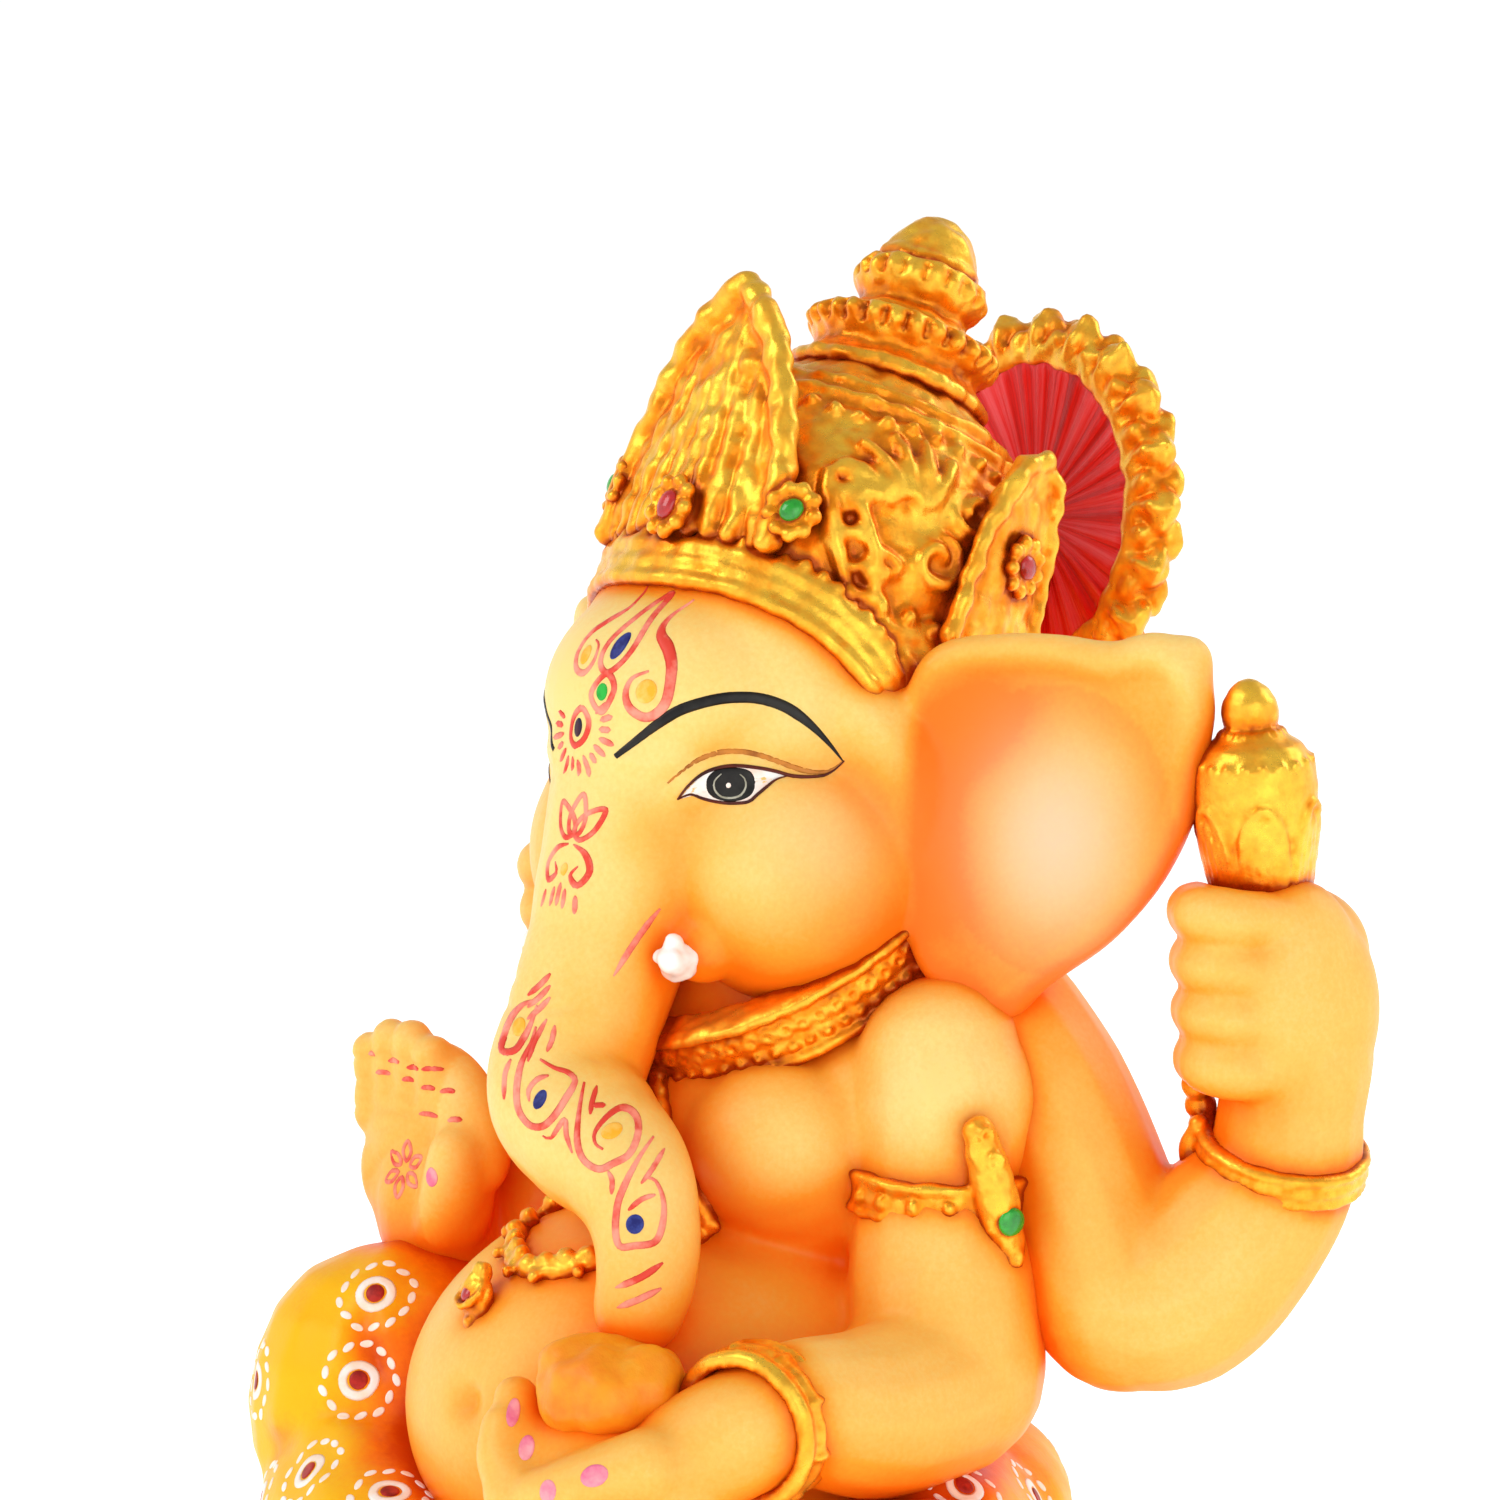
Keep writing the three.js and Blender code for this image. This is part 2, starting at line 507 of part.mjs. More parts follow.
add("right_anklet", "gold", "legs", () => band([3.6, -49.4, 23.4], [1, -0.15, -0.12], 7, 9.6, 4));

export default idol;
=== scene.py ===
"""A small seated elephant-headed idol in cast resin: cream skin, airbrushed orange, gold paint and gems."""
import json
import math

import bmesh
import bpy
import numpy as np
from mathutils import Euler, Matrix, Vector, noise
from mathutils.bvhtree import BVHTree

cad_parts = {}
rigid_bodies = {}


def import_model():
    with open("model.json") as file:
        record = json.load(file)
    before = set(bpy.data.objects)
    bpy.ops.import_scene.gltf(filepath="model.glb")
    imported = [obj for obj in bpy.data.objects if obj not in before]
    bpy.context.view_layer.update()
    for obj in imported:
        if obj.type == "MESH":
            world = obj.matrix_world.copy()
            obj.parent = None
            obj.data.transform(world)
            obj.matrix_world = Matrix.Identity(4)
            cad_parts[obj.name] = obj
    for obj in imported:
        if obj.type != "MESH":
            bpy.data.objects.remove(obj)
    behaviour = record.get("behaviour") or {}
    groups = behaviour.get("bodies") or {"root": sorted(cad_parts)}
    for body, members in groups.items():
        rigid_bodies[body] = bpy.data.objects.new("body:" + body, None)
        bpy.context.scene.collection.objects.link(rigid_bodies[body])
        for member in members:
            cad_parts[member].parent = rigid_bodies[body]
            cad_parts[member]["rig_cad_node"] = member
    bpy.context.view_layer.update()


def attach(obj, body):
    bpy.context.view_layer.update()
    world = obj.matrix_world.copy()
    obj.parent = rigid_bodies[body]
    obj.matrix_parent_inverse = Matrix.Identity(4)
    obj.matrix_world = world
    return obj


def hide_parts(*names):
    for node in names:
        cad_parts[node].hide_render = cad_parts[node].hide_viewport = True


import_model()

# ---------------------------------------------------------------- plinth
# The oval foot is cast resin with a moulded step at top and bottom, painted gold.
# One row of lotus petals stands round its wall, and the idol's seat is glued on it.
MM = 0.001
PLINTH_HALF = (64, 55)
PLINTH_MIDDLE = (0, -6, 0)


def pick(*pieces):
    """Selects these pieces and nothing else; the first one is active."""
    bpy.ops.object.select_all(action="DESELECT")
    for piece in pieces:
        piece.select_set(True)
    bpy.context.view_layer.objects.active = pieces[0]


def put(piece, at=(0, 0, 0), turn=(0, 0, 0), axis=None, stretch=(1, 1, 1)):
    """Sets a piece made at the origin in its place, in mm and degrees; axis is where its own +Z goes."""
    way = Euler([math.radians(a) for a in turn])
    if axis is not None:
        way = Vector((0, 0, 1)).rotation_difference(Vector(axis).normalized())
    piece.data.transform(Matrix.LocRotScale(Vector(at) * MM, way, Vector(stretch)))
    return piece


def turned(profile, ring=72):
    """Turns a closed form on the lathe from (radius, height) pairs in mm, standing on the origin."""
    bpy.ops.object.select_all(action="DESELECT")
    radius, height = profile[0]
    bpy.ops.mesh.primitive_circle_add(
        vertices=ring, radius=radius * MM, fill_type="NGON", location=(0, 0, height * MM))
    piece = bpy.context.object
    bpy.ops.object.transform_apply(location=True, rotation=True, scale=True)
    bpy.ops.object.mode_set(mode="EDIT")
    bpy.ops.mesh.select_all(action="SELECT")
    for (r1, h1), (r2, h2) in zip(profile, profile[1:]):
        bpy.ops.mesh.extrude_region_move(TRANSFORM_OT_translate={"value": (0, 0, (h2 - h1) * MM)})
        bpy.ops.transform.resize(value=(r2 / r1, r2 / r1, 1), center_override=(0, 0, h2 * MM))
    bpy.ops.mesh.select_all(action="SELECT")
    bpy.ops.mesh.normals_make_consistent(inside=False)
    bpy.ops.object.mode_set(mode="OBJECT")
    return piece


first_of_kind = {}


def copied(kind, make):
    """Models a shape once, keeps its mesh, and gives a new object with its own copy of it."""
    if kind not in first_of_kind:
        bpy.ops.object.select_all(action="DESELECT")
        make()
        first = bpy.context.object
        first_of_kind[kind] = first.data.copy()
        bpy.data.objects.remove(first)
    piece = bpy.data.objects.new("part", first_of_kind[kind].copy())
    bpy.context.collection.objects.link(piece)
    return piece


def spoke(way, reach, height=0.0):
    """The point at that angle and reach round the upright axis, at that height."""
    return math.cos(way) * reach, math.sin(way) * reach, height


def lump(at, size, turn=(0, 0, 0), axis=None, fine=28):
    """An egg of clay: its middle, its three half sizes in mm and how it is turned."""
    egg = copied(("egg", fine), lambda: bpy.ops.mesh.primitive_uv_sphere_add(
        segments=fine, ring_count=fine * 2 // 3, radius=MM))
    return put(egg, at, turn, axis, size)


def knead(name, parts, grain, rounds=4):
    """Works several lumps and rolls into one skin, with a grain in mm, and rubs it smooth."""
    rolls = [part for part in parts if part.type == "CURVE"]
    if rolls:
        pick(*rolls)
        bpy.ops.object.convert(target="MESH")
    pick(*parts)
    if len(parts) > 1:
        bpy.ops.object.join()
    piece = bpy.context.object
    piece.name = piece.data.name = name
    remesh = piece.modifiers.new("one skin", "REMESH")
    remesh.mode = "VOXEL"
    remesh.voxel_size = grain * MM
    bpy.ops.object.modifier_apply(modifier=remesh.name)
    if rounds:
        rub = piece.modifiers.new("rub", "SMOOTH")
        rub.factor = 0.5
        rub.iterations = rounds
        bpy.ops.object.modifier_apply(modifier=rub.name)
    piece.data.materials.clear()
    return piece


def places(piece):
    """The piece's points in mm."""
    flat = np.empty(len(piece.data.vertices) * 3)
    piece.data.vertices.foreach_get("co", flat)
    return flat.reshape(-1, 3) / MM


def outward(piece):
    """The direction that the surface faces at each point."""
    flat = np.empty(len(piece.data.vertices) * 3)
    piece.data.vertex_normals.foreach_get("vector", flat)
    return flat.reshape(-1, 3)


def reshape(piece, points):
    piece.data.vertices.foreach_set("co", (points * MM).ravel())
    piece.data.update()


def chase(piece, size, depth, seed=0.0):
    """Roughens a cast surface by hand: soft dents of that size and depth in mm."""
    points, away = places(piece), outward(piece)
    shift = Vector((seed, seed * 2.3, seed * 4.1))
    dents = [noise.noise(Vector(p) / size + shift) for p in points]
    reshape(piece, points + away * (depth * np.array(dents))[:, None])


def finish(piece, name, slot, coat, *nodes):
    """Names, paints and mounts a finished piece, which stands for those CAD nodes."""
    piece.name = piece.data.name = name + "_painted"
    piece.data.materials.clear()
    piece.data.materials.append(coat)
    pick(piece)
    bpy.ops.object.shade_smooth()
    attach(piece, "root")
    if nodes:
        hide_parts(*nodes)
    return piece


def coat_of(name, **settings):
    """A new paint with these constant shader settings; returns the material, its tree and its shader."""
    paint = bpy.data.materials.new(name)
    paint.use_nodes = True
    shader = paint.node_tree.nodes["Principled BSDF"]
    for key, value in settings.items():
        shader.inputs[key.replace("_", " ")].default_value = value
    return paint, paint.node_tree, shader


def node(tree, kind, inputs, **settings):
    """Adds a shader node; each input is a value or the socket that feeds it."""
    made = tree.nodes.new("ShaderNode" + kind)
    for key, value in settings.items():
        setattr(made, key, value)
    for key, value in inputs.items():
        if isinstance(value, bpy.types.NodeSocket):
            tree.links.new(value, made.inputs[key])
        else:
            made.inputs[key].default_value = value
    return made


def ramp(tree, factor, *stops):
    """A colour ramp with (place, colour) stops, read by factor."""
    made = tree.nodes.new("ShaderNodeValToRGB")
    band = made.color_ramp
    while len(band.elements) < len(stops):
        band.elements.new(0.5)
    for element, (place, colour) in zip(band.elements, stops):
        element.position = place
        element.color = (*colour, 1)
    tree.links.new(factor, made.inputs["Fac"])
    return made.outputs["Color"]


def mottle(tree, size, detail=3.0, low=0.0, high=1.0):
    """Noise with spots of that size in mm, on the object's own coordinates, spread to low..high."""
    place = node(tree, "TexCoord", {})
    grain = node(tree, "TexNoise", {"Vector": place.outputs["Object"], "Scale": 0.5 / (size * MM),
                                    "Detail": detail, "Roughness": 0.6})
    spread = node(tree, "MapRange", {"Value": grain.outputs["Fac"], "From Min": 0.3, "From Max": 0.7,
                                     "To Min": low, "To Max": high})
    return spread.outputs["Result"]


def attribute(tree, name):
    return node(tree, "Attribute", {}, attribute_name=name, attribute_type="GEOMETRY").outputs["Fac"]


def dress(tree, shader, colour, sheen=None, relief=None, strength=0.0, depth=0.0):
    """Wires a paint's colour and, where it has them, its roughness and a fine relief of that depth in mm."""
    tree.links.new(colour, shader.inputs["Base Color"])
    if sheen:
        tree.links.new(sheen, shader.inputs["Roughness"])
    if relief:
        bump = node(tree, "Bump", {"Height": relief, "Strength": strength, "Distance": depth * MM})
        tree.links.new(bump.outputs["Normal"], shader.inputs["Normal"])


def gilt(name, bright, mid, dark):
    """Gold paint over cast relief, with painted shade: brighter where the relief is open, darker and redder
    in the hollows.
    """
    paint, tree, shader = coat_of(name, Metallic=0.66, Specular_IOR_Level=0.25,
                                  Coat_Weight=0.1, Coat_Roughness=0.16)
    # The attribute read here is painted shade: the gold turns darker and redder where the relief is hemmed
    # in.
    hollow_shade = attribute(tree, "hollow_shade")
    blotch = mottle(tree, 3.2, 5, -0.10, 0.14)
    depth = node(tree, "Math", {0: hollow_shade, 1: blotch}, operation="ADD", use_clamp=True)
    colour = ramp(tree, depth.outputs["Value"], (0.0, bright), (0.2, mid), (0.62, dark))
    uneven = node(tree, "HueSaturation", {"Color": colour, "Value": mottle(tree, 0.7, 4, 0.86, 1.12)})
    dress(tree, shader, uneven.outputs["Color"], mottle(tree, 1.6, 5, 0.2, 0.44), mottle(tree, 0.8, 6), 0.38,
          0.12)
    return paint


gold = gilt("gold_paint", (1.0, 0.56, 0.045), (1.0, 0.30, 0.004), (0.42, 0.065, 0.0))

wall = turned([(0.985, 0.1), (1.0, 0.8), (1.0, 2.0), (0.965, 2.5), (0.955, 3.0), (0.955, 6.6),
               (0.965, 7.1), (0.99, 7.6), (0.99, 8.5), (0.975, 8.9)], ring=120)
put(wall, PLINTH_MIDDLE, stretch=(*PLINTH_HALF, 1))
petals = []
for i in range(44):
    angle = 2 * math.pi * i / 44
    outwards = Vector((math.cos(angle) / PLINTH_HALF[0], math.sin(angle) / PLINTH_HALF[1], 0)).normalized()
    spot = (math.cos(angle) * (PLINTH_HALF[0] - 3.6), math.sin(angle) * (PLINTH_HALF[1] - 3.6) - 6, 4.4)
    heading = math.degrees(math.atan2(outwards.y, outwards.x))
    petals.append(lump(spot, (2.0, 3.6, 2.6), (0, 0, heading), fine=16))
    petals.append(lump((spot[0], spot[1], 2.4), (2.4, 1.6, 1.6), (0, 0, heading), fine=12))
plinth = knead("plinth", [wall, *petals], 0.95, 2)
reshape(plinth, np.clip(places(plinth), (-64, -61, 0.0), (64, 49, 9.0)))
chase(plinth, 3.0, 0.25)
finish(plinth, "plinth", "gold", gold, "plinth")

# ---------------------------------------------------------------- seat
# A flat oval pad in crimson paint with a softly rounded edge and a fine cast grain.
# It is part of the casting, so it is hard and holds its shape.
SEAT_HALF = (61, 52)
crimson, tree, shader = coat_of("crimson_paint", Coat_Weight=0.25, Coat_Roughness=0.3)
shade = ramp(tree, mottle(tree, 5, 6), (0.0, (0.42, 0.008, 0.012)), (1.0, (0.72, 0.03, 0.02)))
dress(tree, shader, shade, mottle(tree, 2, 4, 0.3, 0.55), mottle(tree, 0.5, 3), 0.5, 0.1)

seat = turned([(0.955, 9.3), (0.985, 9.9), (1.0, 11.2), (1.0, 12.5), (0.985, 13.7), (0.955, 14.4)], ring=120)
put(seat, PLINTH_MIDDLE, stretch=(*SEAT_HALF, 1))
pick(seat)
bevel = seat.modifiers.new("soft edge", "BEVEL")
bevel.width = 0.5 * MM
bevel.segments = 2
bpy.ops.object.modifier_apply(modifier=bevel.name)
finish(seat, "seat_pad", "crimson", crimson, "seat_pad")

# ---------------------------------------------------------------- legs and wrap
# The crossed legs are cast in one with the hip wrap, a yellow cloth in soft folds.
# The folds carry painted shade in orange, and ring flowers are dabbed on with a brush.
def roll(*stations, fine=5, ends=True):
    """A roll of clay through (x, y, z, radius) stations in mm, with round ends."""
    curve = bpy.data.curves.new("roll", "CURVE")
    curve.dimensions = "3D"
    line = curve.splines.new("BEZIER")
    line.bezier_points.add(len(stations) - 1)
    for point, (x, y, z, radius) in zip(line.bezier_points, stations):
        point.co = Vector((x, y, z)) * MM
        point.handle_left_type = point.handle_right_type = "AUTO"
        point.radius = radius
    curve.bevel_depth = MM
    curve.bevel_resolution = fine
    curve.resolution_u = 10
    curve.use_fill_caps = True
    tube = bpy.data.objects.new("roll", curve)
    bpy.context.collection.objects.link(tube)
    if not ends:
        return [tube]
    caps = [lump(s[:3], (s[3] * 0.99,) * 3, fine=16) for s in (stations[0], stations[-1])]
    return [tube, *caps]


def press(piece, path, width, depth, facing=None):
    """Draws a rounded tool along a path in mm: it sinks by depth, or raises a ridge if depth is negative.
    With facing, the path is seen from there, and only that side of the piece is worked."""
    points, away = places(piece), outward(piece)
    path = np.array(path, float)
    side = np.ones(len(points))
    seen, line = points, path
    if facing is not None:
        view = np.array(Vector(facing).normalized())
        seen = points - np.outer(points @ view, view)
        line = path - np.outer(path @ view, view)
        side = np.clip((away @ view) * 2.5, 0, 1)
    near = np.full(len(points), 1e9)
    for a, b in zip(line, line[1:] if len(line) > 1 else line):
        run = b - a
        along = np.clip((seen - a) @ run / max(run @ run, 1e-9), 0, 1)
        near = np.minimum(near, np.linalg.norm(seen - a - along[:, None] * run, axis=1))
    dent = np.exp(-(near / width) ** 2) * side
    reshape(piece, points - away * (depth * dent)[:, None])
    return dent


legs = knead("legs_and_wrap", [
    *roll((-24, 3, 31, 15.5), (-35.4, -12, 37, 19.0), (-44.2, -26, 40, 20.9)),
    *roll((-41, -32, 31, 15.5), (-29, -42, 28, 12.8), (-14, -48, 25.5, 10.2), (-2, -49.4, 24, 8.2)),
    *roll((26, 3, 30, 14.5), (38, -10, 29.5, 14), (46, -22, 28.5, 13.0)),
    *roll((43, -27, 27.5, 12.4), (31, -37, 26, 10.2), (20, -42.6, 24.2, 8.8), (10, -44.4, 23, 7.4)),
    lump((0, 5, 31), (37, 31, 16.6)), lump((0, -14, 25), (44, 30, 10.5)),
], 0.75, 6)
# Where each fold groove sinks is kept here, to become painted orange shade in the folds.
fold_shade = 0
for fold in ([(-62, -20, 50), (-56, -34, 42), (-44, -44, 36), (-24, -46, 36)],
             [(-60, -14, 38), (-55, -36, 30), (-42, -48, 26), (-24, -52, 26)],
             [(-52, -4, 54), (-46, -22, 58), (-36, -38, 52), (-22, -44, 42)],
             [(-40, 6, 50), (-32, -10, 54), (-22, -26, 52)],
             [(-58, -10, 27), (-52, -34, 20), (-38, -46, 18)],
             [(58, -10, 36), (54, -28, 33), (40, -38, 33), (24, -44, 30)],
             [(60, -20, 27), (50, -36, 22), (32, -45, 19)],
             [(50, 2, 42), (44, -14, 42), (34, -30, 37)],
             [(-30, 30, 38), (-10, 36, 36), (14, 35, 37), (32, 27, 38)],
             [(-32, 30, 28), (-8, 37, 26), (16, 36, 27), (36, 26, 27)]):
    fold_shade = np.maximum(fold_shade, press(legs, fold, 2.2, 1.5))
    press(legs, [(x, y, z + 4.4) for x, y, z in fold], 2.8, -0.9)
chase(legs, 14.0, 0.8, 3.0)
reshape(legs, np.maximum(places(legs), (-90, -90, 14.6)))

# ---------------------------------------------------------------- feet
# The right foot rests on the left shin with its sole turned up; both are bare skin
# below an anklet, with short round toes.
feet = {}
feet["right"] = knead("right_foot", [
    *roll((3, -49.4, 23.4, 7.6), (9, -50.4, 22.3, 7.0), (15, -51.4, 20.8, 5.8), (21, -50.6, 20, 4.9)),
    *[part for i in range(4) for part in
      roll((21 + i * 0.5, -53.2 + i * 2.2, 20.6 - i * 0.5, 2.5),
           (25.8 - i * 0.5, -52.8 + i * 2.3, 20.6, 2.1 - i * 0.1))],
    lump((22.5, -54.4, 19.0), (4.6, 2.5, 2.6)),
], 0.5, 4)
feet["left"] = knead("left_foot", [
    *roll((-1, -41, 22, 6.6), (-9, -41.6, 21.4, 6.1), (-16, -41.6, 20.8, 5.2)),
    *[part for i in range(4) for part in
      roll((-16.5, -44.6 + i * 2.1, 20.4, 2.4), (-20.8 + i * 0.6, -44.4 + i * 2.2, 20.4, 2.0))],
], 0.5, 4)

# ---------------------------------------------------------------- body and front arms
# Round belly, soft chest and both front arms are one skin: the left hand is held
# palm up in front of the belly and the right palm is raised. Cast resin, cream.
SIDE = {"left": 1, "right": -1}
body_parts = [
    lump((0, -13, 45.5), (36, 37, 27.5), fine=48), lump((0, -3, 77), (31, 23, 21), fine=40),
    lump((0, 4, 62), (33, 24, 26), fine=40),
    *roll((0, 0, 84, 23), (0, 1.5, 94, 20.5), (0, 2, 101, 20)),
    # left forearm and hand
    *roll((38, -7, 53, 11.8), (40.5, -20, 51.5, 10.4), (40, -33, 53, 8.3), (39.4, -37, 52, 7.8),
          (35, -43, 48.5, 7.4)),
    lump((28.5, -47, 46), (13, 8.6, 6.4), (0, 12, 18)),
    *roll((28, -50.4, 47, 3.9), (21, -52.6, 47, 3.7), (16.4, -53.2, 49.2, 3.4), (13.8, -52.2, 53.2, 2.9)),
    *roll((28, -53.6, 44, 4.0), (21.5, -56, 44, 3.8), (17, -56.4, 46.6, 3.4), (15.2, -55.2, 50.4, 2.9)),
    *roll((30, -54.6, 41.4, 3.9), (24.5, -57, 40.8, 3.7), (20, -57.6, 43, 3.4), (18, -56.8, 46.4, 2.9)),
    *roll((35.6, -50, 48.4, 4.8), (31, -54.4, 46.6, 4.1), (27.5, -56.6, 45.2, 3.6), (24.6, -57.6, 44.6, 2.9)),
    # right forearm and raised hand
    *roll((-42.4, -6.4, 54, 11.4), (-45, -12.4, 57, 10), (-47.2, -17.4, 61, 8.2), (-48, -19.8, 66, 7.4)),
    lump((-46.6, -21.4, 72.0), (9.8, 5.4, 10.4)), lump((-39.6, -22.0, 68.0), (7.0, 5.0, 9.0), (0, -10, 0)),
    lump((-51.8, -22.8, 69.0), (4.2, 3.6, 6.6)), *roll((-44, -19, 60, 8.6), (-44.5, -20.5, 66, 8.0)),
    lump((-38.6, -20.8, 77.0), (6.8, 4.6, 11.0), (0, -40, 0)), lump((-47.6, -21.6, 80.0), (9.0, 3.4, 7.5)),
    *roll((-38.5, -23.4, 64, 4.6), (-35.6, -24.4, 68.5, 4.4), (-34.4, -24.8, 73, 3.9)),
]
for i, tip in enumerate((87.0, 89.2, 89.6, 88.0)):
    x = -55 + 4.5 * i
    body_parts += roll((x, -22.2, 76, 3.4), (x + 0.1, -22.4, 81, 3.1), (x + 0.2, -23.4, tip - 2.9, 2.8))
for side, s in SIDE.items():
    body_parts += [
        lump((s * 15, -12.4, 79), (14.2, 12.6, 12.2), fine=36),
        lump((s * 22, -1, 86), (12.5, 12, 9.5), (0, s * 24, 0)),
        *roll((s * 31, 0, 89.4, 11.6), (s * 33, -0.6, 84.5, 12.4), (s * 33.4, -2, 76, 11.1),
              (s * 36.2, -4.4, 64, 11.9), (38 if s > 0 else -41.6, -6, 54, 12.2)),
    ]
body = knead("body", body_parts, 0.74, 9)
press(body, [(0, -50.6, 50.4)], 2.2, 2.6)
for s in (1, -1):
    press(body, [(s * 2, -24, 70), (s * 12, -25.5, 68.4), (s * 22, -22, 70), (s * 27, -15, 75)], 2.2, 0.5)
press(body, [(6, -19, 92), (16, -20.5, 84.6), (22, -20, 81)], 1.6, 0.4)
for sweep in (0, 1):
    press(body, [(30, -26, 52 + 8 * sweep), (36, -20, 60 + 6 * sweep), (41, -12, 63 + 5 * sweep)], 1.8, 0.5)
for z in (77.5, 80.8, 84.0):
    press(body, [(-57, -26, z - 0.8), (-48, -27, z), (-40, -26, z - 0.4)], 0.45, 0.28, (0, -1, 0))
press(body, [(-52, -28, 68), (-47, -28, 72), (-43.5, -28, 75.5)], 0.5, 0.3, (0, -1, 0))
press(body, [(-54, -28, 72), (-49, -28, 75), (-45, -28, 75.5)], 0.5, 0.25, (0, -1, 0))

# ---------------------------------------------------------------- head, trunk and ears
# The head is one casting with the trunk, which swings down over the chest to the
# idol's left, and the two wide ears, each dished on its front with a rolled rim.
EAR_ROOT = (26, -3)
EAR_OUT = Vector((0.845, 0.535, 0))
EAR_FRONT = Vector((0.535, -0.845, 0))
EAR_OUTLINE = ((0.8, 134), (4, 139.5), (11, 142), (19, 142.3), (27, 141.5), (33.5, 142.6), (37.6, 141.6),
               (38.6, 137), (38.1, 128), (35.5, 118), (28, 107), (19, 100), (11, 93.8), (7, 97), (2, 103),
               (0.8, 118))


def cut_out(outline, thickness, soft, frame_of):
    """A plate with rounded edges, cut to an outline in mm and set by a 4x4 place."""
    curve = bpy.data.curves.new("cut", "CURVE")
    curve.dimensions = "2D"
    curve.fill_mode = "BOTH"
    line = curve.splines.new("BEZIER")
    line.bezier_points.add(len(outline) - 1)
    for point, (u, v) in zip(line.bezier_points, outline):
        point.co = Vector((u, v, 0)) * MM
        point.handle_left_type = point.handle_right_type = "AUTO"
    line.use_cyclic_u = True
    curve.extrude = (thickness / 2 - soft) * MM
    curve.bevel_depth = soft * MM
    curve.bevel_resolution = 4
    curve.offset = -soft * MM
    curve.resolution_u = 8
    plate = bpy.data.objects.new("cut", curve)
    bpy.context.collection.objects.link(plate)
    pick(plate)
    bpy.ops.object.convert(target="MESH")
    plate = bpy.context.object
    plate.data.transform(frame_of)
    return plate


def ear_point(s, out, z, front=0.0):
    """A point of the ear plane in mm: s is the side, out from the root, z the height, front off the plane."""
    spot = Vector((*EAR_ROOT, 0)) + EAR_OUT * out + EAR_FRONT * front
    return Vector((spot.x * s, spot.y, z))


head_parts = [
    lump((0, 0, 130), (27.2, 28, 27), fine=56),
    lump((0, -8.8, 133), (22, 22.6, 17), fine=40),
    *roll((0, -14.4, 127, 18.0), (0, -19.4, 119.5, 14.2), (0, -24.2, 111, 11.4), (0, -27.6, 103, 9.9),
          (0, -31.2, 94.5, 9.6), (1.4, -35, 86.8, 9.7), (8.6, -36.6, 82.2, 9.1), (15.8, -37.0, 78.4, 7.9),
          (19.6, -37.3, 72.8, 6.6), (20.8, -38.2, 67, 6.0), (21.0, -39.4, 63.4, 5.6), fine=8),
]
for side, s in SIDE.items():
    place = Matrix.Identity(4)
    place.col[0] = Vector((EAR_OUT.x * s, EAR_OUT.y, 0, 0))
    place.col[1] = Vector((0, 0, 1, 0))
    place.col[2] = Vector((-EAR_FRONT.x * s, -EAR_FRONT.y, 0, 0)) * s * -1
    place.col[3] = Vector((EAR_ROOT[0] * s * MM, EAR_ROOT[1] * MM, 0, 1))
    ear = cut_out(EAR_OUTLINE, 5.2, 2.2, place)
    rim = [(*ear_point(s, out, z, 0.9), r) for out, z, r in (
        (3, 134, 2.4), (6, 138.4, 2.6), (12, 139.6, 2.7), (19, 139.8, 2.7), (27, 139, 2.8), (33, 139.8, 3.0),
        (35.6, 137, 3.0), (35.6, 128, 2.7), (33.2, 119, 2.5), (26, 109.4, 2.4), (18, 102.6, 2.4),
        (11.4, 97.4, 2.4))]
    head_parts += [
        lump((s * 13, -8, 113), (17, 17, 17), fine=36),
        lump((s * 11.4, -21.4, 104), (4.4, 5.2, 4.4), fine=24),
        *roll((s * 21, -6, 132, 7), (s * 25, -3, 126, 7), (s * 24, -1, 114, 6.4), (s * 21, 0, 105, 5)),
        ear, *roll(*rim, fine=4),
    ]
head = knead("head", head_parts, 0.64, 7)

points, away = places(head), outward(head)
for side, s in SIDE.items():
    root = np.array((EAR_ROOT[0] * s, EAR_ROOT[1], 0.0))
    across = np.array((EAR_OUT.x * s, EAR_OUT.y, 0.0))
    front = np.array((EAR_FRONT.x * s, EAR_FRONT.y, 0.0))
    out = (points - root) @ across
    off = (points - root) @ front
    apart = ((out - 18.5) / 18.0) ** 2 + ((points[:, 2] - 122.5 + 0.25 * (out - 18)) / 19.0) ** 2
    dish = np.clip(1 - apart, 0, 1) ** 1.2
    ahead = np.clip(away @ front, 0, 1) * (out > 1) * (off > -2)
    points = points - np.outer(2.9 * dish * ahead, front)
reshape(head, points)

CHEEK = Vector((0.763, -0.640, 0.087))
ALONG = Vector((0.643, 0.766, 0.0))
UPWARD = CHEEK.cross(ALONG)
LEFT_EYE = Vector((16.3, -21.5, 124.1))


def at_eye(u, v):
    """A point beside the left eye: u mm towards the ear and v mm up, square to the cheek."""
    return tuple(LEFT_EYE + ALONG * u + UPWARD * v)


def both_sides(piece, path, width, depth, facing):
    """The same tool stroke on the left side and, mirrored, on the right."""
    press(piece, path, width, depth, facing)
    press(piece, [(-x, y, z) for x, y, z in path], width, depth, (-facing[0], facing[1], facing[2]))


